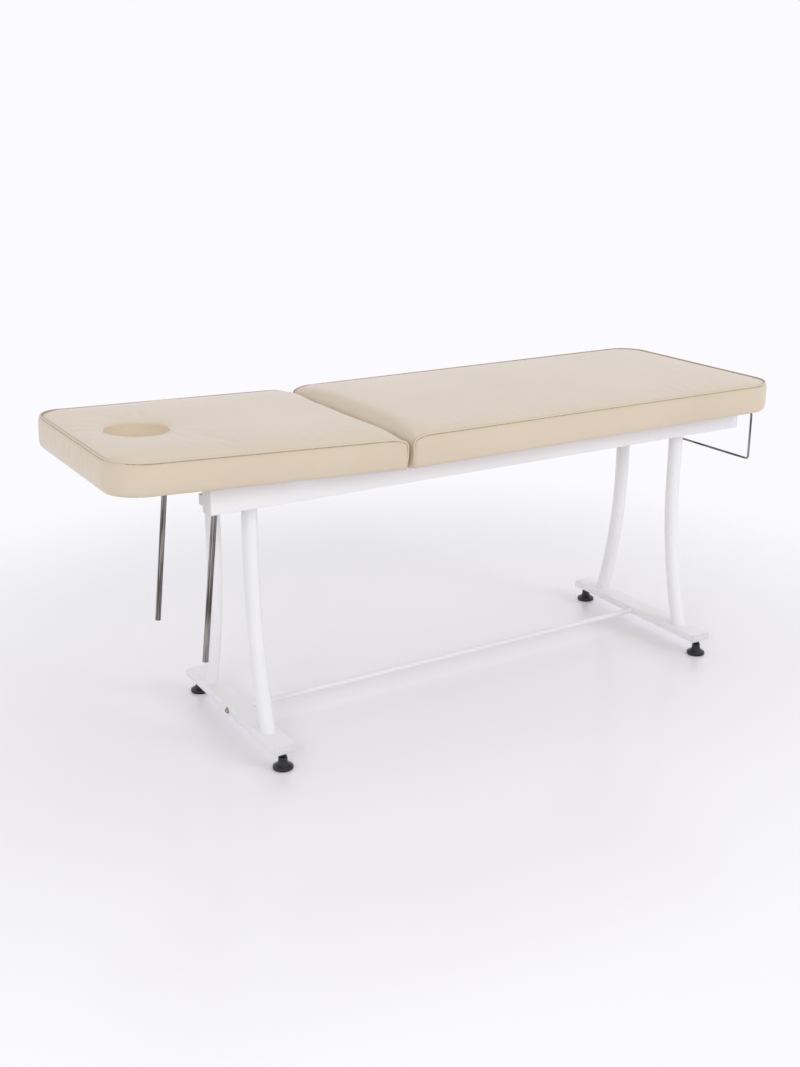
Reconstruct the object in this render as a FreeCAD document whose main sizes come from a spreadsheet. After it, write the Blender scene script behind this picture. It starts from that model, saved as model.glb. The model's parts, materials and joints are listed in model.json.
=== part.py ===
import FreeCAD, Part
import math
import os
import re
from FreeCAD import Placement, Rotation, Vector

# A two-section massage table: a welded frame on four bowed legs, a long fixed section and a head
# section that tilts up on two sliding rods. X runs along the table with the head at minus X, and Z is up.
# Pieces are drawn about the middle of the leg frames. At the end all of them are moved along X, so that
# the origin lies on the floor under the middle of the table's length. All sizes are millimetres.
doc = FreeCAD.newDocument("massage_table")
sheet = doc.addObject("Spreadsheet::Sheet", "sizes")

SIZES = [
    # leg frames and feet
    ("frame_half_span", 657), ("foot_half_spread", 250), ("foot_radius", 25), ("foot_rim_height", 9),
    ("foot_cone_radius", 22), ("foot_neck_radius", 11), ("foot_height", 31), ("stud_radius", 5),
    ("stud_seat", 8), ("stud_top", 60), ("foot_nut_radius", 9), ("foot_nut_height", 11),
    ("insert_radius", 7.5), ("bar_width", 60), ("bar_height", 20), ("bar_bottom", 44),
    ("bar_half_length", 264), ("tube_wall", 2), ("cap_thickness", 3), ("cap_plug", 5), ("leg_radius", 19),
    ("leg_top_half_spread", 110), ("leg_foot_half_spread", 172), ("leg_bend_height", 480),
    # rails, cross members and stretcher
    ("rail_overhang", 134), ("rail_width", 40), ("rail_height", 60), ("rail_bottom", 638),
    ("rail_half_gap", 164), ("top_bar_width", 60), ("top_bar_height", 40), ("cross_bar_width", 40),
    ("cross_bar_height", 8), ("cross_bar_half_length", 230), ("joint_bar_reach", 62.5),
    ("foot_bar_inset", 61), ("rest_bar_reach", 223.5), ("rest_bar_height", 4), ("bumper_radius", 12),
    ("bumper_half_spread", 120), ("bumper_gap", 0.4), ("stretcher_radius", 7), ("stretcher_wall", 1.5),
    ("stretcher_plug", 30), ("bolt_bite", 24), ("bolt_radius", 3), ("bolt_head_radius", 7),
    ("bolt_head_height", 5),
    # padded sections
    ("board_thickness", 15), ("board_inset", 9), ("pad_side_height", 74), ("pad_half_width", 309),
    ("pad_overhang", 34), ("head_length", 696), ("head_end_half_width", 282), ("corner_radius", 78),
    ("joint_corner_radius", 6), ("joint_half_gap", 4), ("waterfall_run", 68), ("waterfall_drop", 28),
    ("waterfall_turn_angle", 70), ("crown_rise", 11), ("side_tuck", 8), ("side_bulge", 3),
    ("piping_radius", 3), ("face_hole_radius", 75), ("face_hole_reach", 542), ("face_hole_flare", 9),
    ("liner_wall", 1.5),
    # hinges and wood screws
    ("hinge_reach", 336.5), ("hinge_rise", 46), ("rest_tilt_angle", 2.2), ("hinge_half_spread", 178),
    ("leaf_thickness", 2.5), ("leaf_inset", 1), ("leaf_width", 84), ("leaf_foot", 34),
    ("leaf_screw_place", 22), ("barrel_radius", 3.5), ("hinge_pin_radius", 2), ("knuckle_gap", 0.3),
    ("screw_radius", 2), ("screw_head_radius", 4), ("screw_head_height", 2), ("screw_bite", 11),
    ("screw_spread", 26),
    # head support rods, their brackets, guides and lock knobs
    ("rod_radius", 7), ("rod_length", 440), ("rod_lean_angle", 6.31), ("rod_half_spread", 150),
    ("pivot_shift", 14.8), ("pivot_drop", 59.9), ("tongue_thickness", 8), ("tongue_radius", 9),
    ("tongue_length", 24), ("rod_pin_radius", 3), ("rod_pin_head", 2), ("bracket_plate", 3),
    ("bracket_length", 60), ("bracket_width", 30), ("cheek_thickness", 3), ("cheek_length", 24),
    ("guide_length", 54), ("guide_height", 24), ("guide_rise", 12), ("guide_inset", 26.5),
    ("guide_wall", 4.5), ("slot_length", 43), ("slot_width", 15), ("lock_screw_radius", 4),
    ("lock_screw_reach", 22), ("knob_radius", 18), ("knob_length", 16), ("knob_lobe_radius", 7),
    ("knob_lobes", 5),
    # paper roll holder
    ("wire_radius", 3), ("roll_half_width", 264), ("roll_drop", 131), ("roll_inset", 6), ("roll_bend", 9),
    ("roll_pivot_drop", 12), ("wire_end_length", 28), ("clip_nose", 8), ("clip_tail", 22),
    ("clip_width", 18), ("clip_floor", 5), ("clip_screw_place", 13),
    # fits and cuts
    ("running_fit", 0.05), ("side_gap", 0.3), ("overrun", 20),
]
for row, (alias, value) in enumerate(SIZES, start=1):
    sheet.set("A%d" % row, alias.replace("_", " "))
    sheet.set("B%d" % row, str(value))
    sheet.setAlias("B%d" % row, alias)
doc.recompute()
ALIASES = [alias for alias, _ in SIZES]
nodes = []


def size(alias):
    """The sheet's value of one size."""
    return float(sheet.get(alias))


def cells(text):
    """An expression in which each size's name points to its cell."""
    return re.sub(r"[a-z_]+[a-z]", lambda word: "sizes." * (word[0] in ALIASES) + word[0], text)


def place(piece, x, y, z):
    """Tie an object's place to expressions of the sheet."""
    for axis, text in zip("xyz", (x, y, z)):
        piece.setExpression("Placement.Base." + axis, cells(text))
    return piece


def box(length, width, height, x, y, z):
    """A block from its low corner."""
    piece = doc.addObject("Part::Box", "block")
    for name, text in (("Length", length), ("Width", width), ("Height", height)):
        piece.setExpression(name, cells(text))
    return place(piece, x, y, z)


def cylinder(radius, height, x, y, z, axis="z"):
    """A round bar that starts at a point and runs along one axis."""
    piece = doc.addObject("Part::Cylinder", "round")
    piece.setExpression("Radius", cells(radius))
    piece.setExpression("Height", cells(height))
    turns = {"x": Rotation(Vector(0, 1, 0), 90), "y": Rotation(Vector(1, 0, 0), -90), "z": Rotation()}
    piece.Placement = Placement(Vector(0, 0, 0), turns[axis])
    return place(piece, x, y, z)


def cut(base, *tools):
    """One piece with others taken out of it."""
    for tool in tools:
        step = doc.addObject("Part::Cut", "cut")
        step.Base = base
        step.Tool = tool
        base = step
    return base


def fuse(*pieces):
    """Overlapping shapes of one piece joined into one solid."""
    joined = doc.addObject("Part::MultiFuse", "joined")
    joined.Shapes = list(pieces)
    joined.Refine = True
    return joined


def group(*pieces):
    """Separate like pieces kept under one name."""
    together = doc.addObject("Part::Compound", "set")
    together.Links = list(pieces)
    return together


def feature(shape):
    """A shape drawn from curves."""
    piece = doc.addObject("Part::Feature", "drawn")
    piece.Shape = shape
    return piece


def node(piece, label, placement=None):
    """Name a finished sub-part and give it its place."""
    piece.Label = label
    if placement is not None:
        piece.Placement = placement
    nodes.append(piece)
    return piece


def mirrored(text, side):
    """An expression on the near or the far side of the table."""
    return "(%s) * %d" % (text, side)


def along_y(radius, start, length, x, z, side):
    """A round bar along Y that starts at a distance from the middle plane and runs outwards."""
    low = start if side > 0 else "-(%s) - (%s)" % (start, length)
    return cylinder(radius, length, x, low, z, "y")


SIDES = {"near": -1, "far": 1}
ENDS = {"head": -1, "foot": 1}
RAIL_TOP = "rail_bottom + rail_height"
BOARD_BOTTOM = "rail_bottom + rail_height + cross_bar_height"
HINGE_HEIGHT = BOARD_BOTTOM + " + hinge_rise"
BAR_MIDDLE = "bar_bottom + bar_height / 2"
RAIL_END = "(frame_half_span + rail_overhang)"

board_bottom = size("rail_bottom") + size("rail_height") + size("cross_bar_height")
hinge_point = Vector(-size("hinge_reach"), 0, board_bottom + size("hinge_rise"))
tilted = Placement(Vector(0, 0, 0), Rotation(Vector(0, 1, 0), size("rest_tilt_angle")), hinge_point)


# Paths and outlines made of straight runs and tangent arcs.
def rounded_path(points, radii, closed=False):
    """A wire through points whose corners are arcs of the given radii."""
    count = len(points)
    corners = []
    for index, point in enumerate(points):
        if not closed and index in (0, count - 1):
            corners.append((point, None, point))
            continue
        back = (points[index - 1] - point).normalize()
        ahead = (points[(index + 1) % count] - point).normalize()
        half = back.getAngle(ahead) / 2
        reach = radii[index] / math.tan(half)
        inward = (back + ahead).normalize()
        middle = point + inward * (radii[index] / math.sin(half) - radii[index])
        corners.append((point + back * reach, middle, point + ahead * reach))
    edges = []
    for index in range(count if closed else count - 1):
        start = corners[index]
        end = corners[(index + 1) % count]
        if index and start[1] is not None or closed:
            edges.append(Part.Arc(start[0], start[1], start[2]).toShape())
        edges.append(Part.LineSegment(start[2], end[0]).toShape())
    return Part.Wire(edges)


def swept(path, radius):
    """A round bar along a path."""
    start = path.OrderedEdges[0]
    first = start.FirstParameter
    ring = Part.Wire(Part.Circle(start.valueAt(first), start.tangentAt(first), radius).toShape())
    return path.makePipeShell([ring], True, False)


# Base bars: a flat rectangular tube across the floor at each end, with plastic end caps.
def base_bar(end, sign):
    middle = mirrored("frame_half_span", sign)
    left = middle + " - bar_width / 2"
    outer = box("bar_width", "bar_half_length * 2", "bar_height", left, "-bar_half_length", "bar_bottom")
    hollow = box("bar_width - tube_wall * 2", "(bar_half_length + overrun) * 2", "bar_height - tube_wall * 2",
                 left + " + tube_wall", "-bar_half_length - overrun", "bar_bottom + tube_wall")
    holes = [cylinder("stud_radius + side_gap", "overrun", middle, mirrored("foot_half_spread", side),
                      "bar_bottom + tube_wall / 2 - overrun / 2") for side in SIDES.values()]
    bolt_hole = cylinder("bolt_radius + running_fit", "bar_width + overrun", left + " - overrun / 2", "0",
                         BAR_MIDDLE, "x")
    node(cut(outer, hollow, bolt_hole, *holes), "base_bar_" + end)


def end_caps(label, plate, plug, places):
    """Plastic caps, each a plate with a plug that sits in the tube."""
    caps = []
    for plate_place, plug_place in places:
        caps.append(fuse(box(*plate, *plate_place), box(*plug, *plug_place)))
    node(group(*caps), label)


def base_bar_caps():
    plate = ("bar_width", "cap_thickness", "bar_height")
    plug = ("bar_width - (tube_wall + side_gap) * 2", "cap_plug", "bar_height - (tube_wall + side_gap) * 2")
    places = []
    for sign in ENDS.values():
        left = mirrored("frame_half_span", sign) + " - bar_width / 2"
        inner_left = left + " + tube_wall + side_gap"
        inner_low = "bar_bottom + tube_wall + side_gap"
        places.append(((left, "bar_half_length", "bar_bottom"),
                       (inner_left, "bar_half_length - cap_plug", inner_low)))
        places.append(((left, "-bar_half_length - cap_thickness", "bar_bottom"),
                       (inner_left, "-bar_half_length", inner_low)))
    end_caps("base_bar_caps", plate, plug, places)


# Levelling feet: a moulded pad on a threaded stud with a jam nut, screwed into an insert in the bar.
def levelling_foot(end, sign, side_name, side):
    x = mirrored("frame_half_span", sign)
    y = mirrored("foot_half_spread", side)
    name = end + "_" + side_name
    rim = cylinder("foot_radius", "foot_rim_height", x, y, "0")
    cone = doc.addObject("Part::Cone", "cone")
    cone.setExpression("Radius1", cells("foot_cone_radius"))
    cone.setExpression("Radius2", cells("foot_neck_radius"))
    cone.setExpression("Height", cells("foot_height - foot_rim_height"))
    place(cone, x, y, "foot_rim_height")
    socket = cylinder("stud_radius", "foot_height", x, y, "stud_seat")
    node(cut(fuse(rim, cone), socket), "foot_pad_" + name)
    stud = cylinder("stud_radius", "stud_top - stud_seat", x, y, "stud_seat")
    nut = cylinder("foot_nut_radius", "foot_nut_height", x, y, "bar_bottom - side_gap - foot_nut_height")
    node(fuse(stud, nut), "foot_stud_" + name)


def foot_inserts():
    inserts = []
    for sign in ENDS.values():
        for side in SIDES.values():
            x = mirrored("frame_half_span", sign)
            y = mirrored("foot_half_spread", side)
            low = "bar_bottom + tube_wall"
            high = "bar_height - tube_wall * 2"
            bore = cylinder("stud_radius + running_fit", "bar_height + overrun", x, y,
                            "bar_bottom - overrun / 2")
            inserts.append(cut(cylinder("insert_radius", high, x, y, low), bore))
    node(group(*inserts), "foot_inserts")


# Legs: round tubes that drop straight from the top bar and bow outwards to the base bar.
def leg(end, sign, side_name, side):
    base = size("bar_bottom") + size("bar_height")
    top = size("rail_bottom")
    bend = size("leg_bend_height")
    inner = size("leg_top_half_spread")
    run = size("leg_foot_half_spread") - inner
    rise = bend - base
    bow = (rise * rise + run * run) / (run + run)
    x = sign * size("frame_half_span")
    turn = math.asin((rise + size("overrun")) / bow)

    def on_bow(angle):
        return Vector(x, side * (inner + bow - bow * math.cos(angle)), bend - bow * math.sin(angle))

    arc = Part.Arc(on_bow(turn), on_bow(turn / 2), on_bow(0)).toShape()
    straight = Part.LineSegment(on_bow(0), Vector(x, side * inner, top)).toShape()
    path = Part.Wire([arc, straight])
    tube = swept(path, size("leg_radius")).cut(swept(path, size("leg_radius") - size("tube_wall")))
    depth = size("leg_foot_half_spread") + size("leg_radius") + size("overrun")
    slab = Part.makeBox(depth + depth, depth + depth, top - base, Vector(x - depth, -depth, base))
    node(feature(tube.common(slab)), "leg_%s_%s" % (end, side_name))


# Top bars: a rectangular tube across the rails over each pair of legs.
def top_bar(end, sign):
    left = mirrored("frame_half_span", sign) + " - top_bar_width / 2"
    outer = box("top_bar_width", "rail_half_gap * 2", "top_bar_height", left, "-rail_half_gap", "rail_bottom")
    hollow = box("top_bar_width - tube_wall * 2", "(rail_half_gap + overrun) * 2",
                 "top_bar_height - tube_wall * 2", left + " + tube_wall", "-rail_half_gap - overrun",
                 "rail_bottom + tube_wall")
    node(cut(outer, hollow), "top_bar_" + end)


# Rails: two rectangular tubes along the table, closed by plastic end caps.
def rail(side_name, side):
    low = "rail_half_gap" if side > 0 else "-rail_half_gap - rail_width"
    outer = box(RAIL_END + " * 2", "rail_width", "rail_height", "-" + RAIL_END, low, "rail_bottom")
    hollow = box("(%s + overrun) * 2" % RAIL_END, "rail_width - tube_wall * 2", "rail_height - tube_wall * 2",
                 "-%s - overrun" % RAIL_END, low + " + tube_wall", "rail_bottom + tube_wall")
    node(cut(outer, hollow), "rail_" + side_name)


def rail_caps():
    plate = ("cap_thickness", "rail_width", "rail_height")
    plug = ("cap_plug", "rail_width - (tube_wall + side_gap) * 2",
            "rail_height - (tube_wall + side_gap) * 2")
    places = []
    for side in SIDES.values():
        low = "rail_half_gap" if side > 0 else "-rail_half_gap - rail_width"
        inner_low = low + " + tube_wall + side_gap"
        inner_base = "rail_bottom + tube_wall + side_gap"
        places.append(((RAIL_END, low, "rail_bottom"), (RAIL_END + " - cap_plug", inner_low, inner_base)))
        places.append((("-%s - cap_thickness" % RAIL_END, low, "rail_bottom"),
                       ("-" + RAIL_END, inner_low, inner_base)))
    end_caps("rail_end_caps", plate, plug, places)


# Stretcher: a thin tube along the floor between the base bars, held by a bolt at each end.
def stretcher():
    half = "frame_half_span - bar_width / 2"
    length = "(%s) * 2" % half
    outer = cylinder("stretcher_radius", length, "-(%s)" % half, "0", BAR_MIDDLE, "x")
    hollow = cylinder("stretcher_radius - stretcher_wall", length + " + overrun * 2",
                      "-(%s) - overrun" % half, "0", BAR_MIDDLE, "x")
    node(cut(outer, hollow), "stretcher")
    plugs = []
    bolts = []
    for sign in ENDS.values():
        low = "(%s) - stretcher_plug" % half if sign > 0 else "-(%s)" % half
        plug = cylinder("stretcher_radius - stretcher_wall", "stretcher_plug", low, "0", BAR_MIDDLE, "x")
        bore = cylinder("bolt_radius + running_fit", "stretcher_plug + overrun * 2", low + " - overrun", "0",
                        BAR_MIDDLE, "x")
        plugs.append(cut(plug, bore))
        face = "frame_half_span + bar_width / 2"
        shank_length = "bar_width + bolt_bite"
        shank_low = "%s - (%s)" % (face, shank_length) if sign > 0 else "-(%s)" % face
        shank = cylinder("bolt_radius", shank_length, shank_low, "0", BAR_MIDDLE, "x")
        head_low = face if sign > 0 else "-(%s) - bolt_head_height" % face
        head = cylinder("bolt_head_radius", "bolt_head_height", head_low, "0", BAR_MIDDLE, "x")
        bolts.append(fuse(shank, head))
    node(group(*plugs), "stretcher_plugs")
    node(group(*bolts), "stretcher_bolts")


# Flat cross bars on the rails carry the main board; a thinner one with rubber bumpers stops the head.
JOINT_BAR = "-hinge_reach + joint_bar_reach"
FOOT_BAR = RAIL_END + " - foot_bar_inset"
REST_BAR = "-hinge_reach - rest_bar_reach"
CROSS_BARS = {"joint": JOINT_BAR, "middle": "(%s + %s) / 2" % (JOINT_BAR, FOOT_BAR), "foot": FOOT_BAR}
BOARD_SCREW_SHARES = (-0.95, -0.35, 0.35, 0.95)


def cross_bars():
    screws = []
    for name, x in CROSS_BARS.items():
        bar = box("cross_bar_width", "cross_bar_half_length * 2", "cross_bar_height",
                  x + " - cross_bar_width / 2", "-cross_bar_half_length", RAIL_TOP)
        holes = []
        for share in BOARD_SCREW_SHARES:
            y = "cross_bar_half_length * %s" % share
            holes.append(cylinder("screw_radius + running_fit", "cross_bar_height + overrun", x, y,
                                  RAIL_TOP + " - overrun / 2"))
        node(cut(bar, *holes), "cross_bar_" + name)
        for share in BOARD_SCREW_SHARES:
            y = "cross_bar_half_length * %s" % share
            screws.append(screw(x, y, RAIL_TOP, "cross_bar_height"))
    node(group(*screws), "main_board_screws")


def screw(x, y, z, grip):
    """A screw from below: its head under a plate and its shank up into the board."""
    head = cylinder("screw_head_radius", "screw_head_height", x, y, "%s - screw_head_height" % z)
    shank = cylinder("screw_radius", "%s + screw_bite" % grip, x, y, z)
    return fuse(head, shank)


def pilot(x, y):
    """The hole that a screw leaves in a board."""
    return cylinder("screw_radius + running_fit", "screw_bite + side_gap + overrun", x, y,
                    BOARD_BOTTOM + " - overrun")


def rest_bar():
    bar = box("cross_bar_width", "cross_bar_half_length * 2", "rest_bar_height",
              REST_BAR + " - cross_bar_width / 2", "-cross_bar_half_length", RAIL_TOP)
    node(group(bar), "head_rest_bar")
    low = RAIL_TOP + " + rest_bar_height"
    height = "cross_bar_height - rest_bar_height - bumper_gap"
    bumpers = [cylinder("bumper_radius", height, REST_BAR, mirrored("bumper_half_spread", side), low)
               for side in SIDES.values()]
    node(group(*bumpers), "rest_bumpers")


# Padded sections. Each is drawn from its hinge end along plus X and then set in place: a board with
# rounded corners, a cushion that wraps it, and a piping cord along the cushion's sewn edge.
SIDE_HEIGHT_SHARES = (0, 0.08, 0.3, 0.6)
SIDE_TUCK_SHARES = (1, 0.35, 0, 0)
SIDE_BULGE_SHARES = (0, 0.3, 1, 1)
FALL_ANGLE_SHARES = (0, 0.25, 0.5, 0.75, 1)
CROWN_RISE_SHARES = (0.5, 0.85, 1)
CROWN_INSET_SHARES = (0.1, 0.35, 0.8)


def outline(start, end, half_start, half_end, round_start, round_end, z):
    """A closed plan outline with rounded corners, wider or narrower at its far end."""
    points = [Vector(start, -half_start, z), Vector(end, -half_end, z), Vector(end, half_end, z),
              Vector(start, half_start, z)]
    return rounded_path(points, [round_start, round_end, round_end, round_start], closed=True)


def waterfall():
    """Radii of the two tangent arcs that carry the cushion's top down over its hinge end."""
    turn = math.radians(size("waterfall_turn_angle"))
    run = size("waterfall_run")
    drop = size("waterfall_drop")
    scale = 1 - math.cos(turn) - math.sin(turn)
    small = (run * (1 - math.sin(turn)) - drop * math.cos(turn)) / scale
    large = ((1 - math.cos(turn)) * drop - math.sin(turn) * run) / scale
    return turn, small, large


def fall_point(share):
    """Run and rise on the waterfall, from its foot at share 0 to its top at share 1."""
    turn, small, large = waterfall()
    angle = share * math.pi / 2
    if angle <= turn:
        return small * (1 - math.cos(angle)), small * math.sin(angle)
    rest = math.pi / 2 - angle
    rise = size("waterfall_drop") - large * (1 - math.cos(rest))
    return size("waterfall_run") - large * math.sin(rest), rise


def board_outline(length, half_end, z):
    inset = size("board_inset")
    half = size("pad_half_width") - inset
    return outline(size("joint_half_gap") + inset, length - inset, half, half_end - inset,
                   size("joint_corner_radius"), size("corner_radius") - inset, z)


def board_solid(length, half_end):
    face = Part.Face(board_outline(length, half_end, board_bottom))
    return face.extrude(Vector(0, 0, size("board_thickness")))


def piping_path(length, half_end):
    """From the bottom of the hinge end up, along one side, round the free end and back down."""
    gap = size("joint_half_gap") + size("piping_radius")
    half = size("pad_half_width")
    knee = size("waterfall_turn_angle") / 90
    slope = Vector(length - gap, half_end - half, 0).normalize()
    low = board_bottom + size("piping_radius")
    seam = board_bottom + size("pad_side_height")
    foot = seam - size("waterfall_drop")

    def beside(run, z, side):
        point = Vector(gap, half, z) + slope * run
        return Vector(point.x, side * point.y, z)

    def down(side):
        """The edges of one hinge end, from the bottom to the top of the waterfall."""
        shares = (0, knee / 2, knee, (knee + 1) / 2, 1)
        points = [beside(fall_point(share)[0], foot + fall_point(share)[1], side) for share in shares]
        return [Part.LineSegment(beside(0, low, side), points[0]).toShape(),
                Part.Arc(points[0], points[1], points[2]).toShape(),
                Part.Arc(points[2], points[3], points[4]).toShape()]

    start = beside(size("waterfall_run"), seam, -1)
    finish = beside(size("waterfall_run"), seam, 1)
    points = [start, Vector(length, -half_end, seam), Vector(length, half_end, seam), finish]
    around = rounded_path(points, [0, size("corner_radius"), size("corner_radius"), 0]).OrderedEdges
    return Part.Wire(down(-1) + list(around) + list(reversed(down(1))))


def cushion_solid(length, half_end):
    """The padded form: tucked under at the bottom, bulging sides, a sewn edge and a crowned top."""
    half = size("pad_half_width")
    gap = size("joint_half_gap")
    seam = size("pad_side_height")
    corner = size("corner_radius")
    foot = seam - size("waterfall_drop")
    sections = []
    for rise, tuck, bulge in zip(SIDE_HEIGHT_SHARES, SIDE_TUCK_SHARES, SIDE_BULGE_SHARES):
        inset = tuck * size("side_tuck") - bulge * size("side_bulge")
        sections.append((rise * foot, gap, inset))
    for share in FALL_ANGLE_SHARES:
        run, rise = fall_point(share)
        inset = size("side_bulge") * (share - 1)
        sections.append((foot + rise, gap + run, inset))
    for rise, spread in zip(CROWN_RISE_SHARES, CROWN_INSET_SHARES):
        inset = spread * half
        sections.append((seam + rise * size("crown_rise"), gap + size("waterfall_run") + inset, inset))
    wires = []
    for z, start, inset in sections:
        round_end = max(corner - inset, size("joint_corner_radius"))
        wires.append(outline(start, length - inset, half - inset, half_end - inset,
                             size("joint_corner_radius"), round_end, board_bottom + z))
    return Part.makeLoft(wires, True, True)


def section(name, length, half_end, placement, pilots, opening):
    """The board, cushion and piping of one padded section."""
    board = board_solid(length, half_end)
    path = piping_path(length, half_end)
    cord = swept(path, size("piping_radius"))
    groove = swept(path, size("piping_radius") + size("running_fit"))
    cushion = cushion_solid(length, half_end).cut(board).cut(groove)
    if opening:
        board = board.cut(opening)
        cushion = cushion.cut(opening)
    turned = placement.inverse()
    holes = [hole.Shape.copy() for hole in pilots]
    for hole in holes:
        hole.Placement = turned.multiply(hole.Placement)
        board = board.cut(hole)
    node(feature(board), name + "_board", placement)
    node(feature(cushion), name + "_cushion", placement)
    node(feature(cord), name + "_piping", placement)


def face_hole():
    """The breathing hole through the head section, wider at its rim."""
    reach = size("face_hole_reach")
    top = board_bottom + size("pad_side_height") + size("crown_rise") + size("overrun")
    low = board_bottom - size("overrun")
    radius = size("face_hole_radius")
    bore = Part.makeCylinder(radius, top - low, Vector(reach, 0, low))
    rim = board_bottom + size("pad_side_height") - size("face_hole_flare")
    flare = size("face_hole_flare")
    cone = Part.makeCone(radius, radius + (top - rim), top - rim, Vector(reach, 0, rim + flare / 2))
    return bore.fuse(cone).removeSplitter()


def face_hole_liner(placement):
    """A vinyl tube that lines the hole."""
    reach = size("face_hole_reach")
    height = size("pad_side_height") - size("face_hole_flare")
    radius = size("face_hole_radius") - size("running_fit")
    low = Vector(reach, 0, board_bottom)
    hollow = Part.makeCylinder(radius - size("liner_wall"), height, low)
    node(feature(Part.makeCylinder(radius, height, low).cut(hollow)), "face_hole_liner", placement)


# Hinges: tall leaves that stand in the gap between the cushions, so the sections turn without pinching.
def knuckle_cuts(sign, x, y_low):
    """Blocks that clear the knuckles of the other leaf: the middle third, or the two outer thirds."""
    reach = "(barrel_radius + knuckle_gap)"
    third = "leaf_width / 3"
    if sign > 0:
        spans = [("%s + %s - knuckle_gap / 2" % (y_low, third), third + " + knuckle_gap")]
    else:
        wide = third + " + knuckle_gap / 2 + overrun"
        spans = [(y_low + " - overrun", wide), ("%s + (%s) * 2 - knuckle_gap / 2" % (y_low, third), wide)]
    return [box(reach + " * 2", wide, reach + " * 2", "%s - %s" % (x, reach), start,
                "%s - %s" % (HINGE_HEIGHT, reach)) for start, wide in spans]


def hinge_leaf(name, side_name, side, sign, placement):
    x = "-hinge_reach"
    y_low = "%s - leaf_width / 2" % mirrored("hinge_half_spread", side)
    foot_low = BOARD_BOTTOM + " - leaf_thickness"
    upright_x = x + " + leaf_inset" if sign > 0 else x + " - leaf_inset - leaf_thickness"
    upright = box("leaf_thickness", "leaf_width", "hinge_rise + leaf_thickness", upright_x, y_low, foot_low)
    foot_x = x + " + leaf_inset" if sign > 0 else x + " - leaf_inset - leaf_foot"
    flat = box("leaf_foot", "leaf_width", "leaf_thickness", foot_x, y_low, foot_low)
    barrel = cylinder("barrel_radius", "leaf_width", x, y_low, HINGE_HEIGHT, "y")
    bore = cylinder("hinge_pin_radius + running_fit", "leaf_width + overrun * 2", x, y_low + " - overrun",
                    HINGE_HEIGHT, "y")
    cuts = [bore] + knuckle_cuts(sign, x, y_low)
    for spread in (-1, 1):
        cuts.append(cylinder("screw_radius + running_fit", "overrun", leaf_screw_x(sign),
                             leaf_screw_y(side, spread), foot_low + " - overrun / 2"))
    node(cut(fuse(upright, flat, barrel), *cuts), "hinge_leaf_%s_%s" % (name, side_name), placement)


def leaf_screw_x(sign):
    return "-hinge_reach + %d * (leaf_inset + leaf_screw_place)" % sign


def leaf_screw_y(side, spread):
    return "%s + screw_spread * %d" % (mirrored("hinge_half_spread", side), spread)


def leaf_screws(name, sign, placement):
    screws = []
    for side in SIDES.values():
        for spread in (-1, 1):
            screws.append(screw(leaf_screw_x(sign), leaf_screw_y(side, spread),
                                BOARD_BOTTOM + " - leaf_thickness", "leaf_thickness"))
    node(group(*screws), "hinge_screws_" + name, placement)


def hinge_pins():
    pins = []
    for side in SIDES.values():
        y_low = "%s - leaf_width / 2" % mirrored("hinge_half_spread", side)
        pins.append(cylinder("hinge_pin_radius", "leaf_width", "-hinge_reach", y_low, HINGE_HEIGHT, "y"))
    node(group(*pins), "hinge_pins")


# Support rods: each hangs from a clevis bracket under the head board and slides through a guide on the rail.
GUIDE_X = "-%s + guide_inset" % RAIL_END
GUIDE_LOW = "rail_bottom + guide_rise"
GUIDE_MIDDLE = GUIDE_LOW + " + guide_height / 2"
PIVOT_X = GUIDE_X + " + pivot_shift"
PIVOT_Z = HINGE_HEIGHT + " - pivot_drop"


def rod_bracket(side_name, side):
    y = mirrored("rod_half_spread", side)
    low = BOARD_BOTTOM + " - bracket_plate"
    plate = box("bracket_length", "bracket_width", "bracket_plate", PIVOT_X + " - bracket_length / 2",
                y + " - bracket_width / 2", low)
    cheek_low = PIVOT_Z + " - tongue_radius"
    cheek_height = "pivot_drop - hinge_rise + tongue_radius"
    inner = "tongue_thickness / 2 + side_gap"
    starts = ("%s + %s" % (y, inner), "%s - (%s) - cheek_thickness" % (y, inner))
    cheeks = [box("cheek_length", "cheek_thickness", cheek_height, PIVOT_X + " - cheek_length / 2", start,
                  cheek_low) for start in starts]
    bore = cylinder("rod_pin_radius + running_fit", "bracket_width + overrun", PIVOT_X,
                    y + " - (bracket_width + overrun) / 2", PIVOT_Z, "y")
    holes = [cylinder("screw_radius + running_fit", "overrun", bracket_screw_x(spread), y,
                      low + " - overrun / 2") for spread in (-1, 1)]
    node(cut(fuse(plate, *cheeks), bore, *holes), "rod_bracket_" + side_name, tilted)


def bracket_screw_x(spread):
    return "%s + %d * (cheek_length + bracket_length) / 4" % (PIVOT_X, spread)


def bracket_screws():
    screws = []
    for side in SIDES.values():
        for spread in (-1, 1):
            screws.append(screw(bracket_screw_x(spread), mirrored("rod_half_spread", side),
                                BOARD_BOTTOM + " - bracket_plate", "bracket_plate"))
    node(group(*screws), "bracket_screws", tilted)


def rod_pins():
    pins = []
    half = "tongue_thickness / 2 + side_gap + cheek_thickness"
    for side in SIDES.values():
        y = mirrored("rod_half_spread", side)
        shank = cylinder("rod_pin_radius", "(%s + rod_pin_head) * 2" % half, PIVOT_X,
                         "%s - (%s) - rod_pin_head" % (y, half), PIVOT_Z, "y")
        heads = [cylinder("rod_pin_radius + rod_pin_head", "rod_pin_head", PIVOT_X, start, PIVOT_Z, "y")
                 for start in ("%s + %s" % (y, half), "%s - (%s) - rod_pin_head" % (y, half))]
        pins.append(fuse(shank, *heads))
    node(group(*pins), "rod_pins", tilted)


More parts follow.
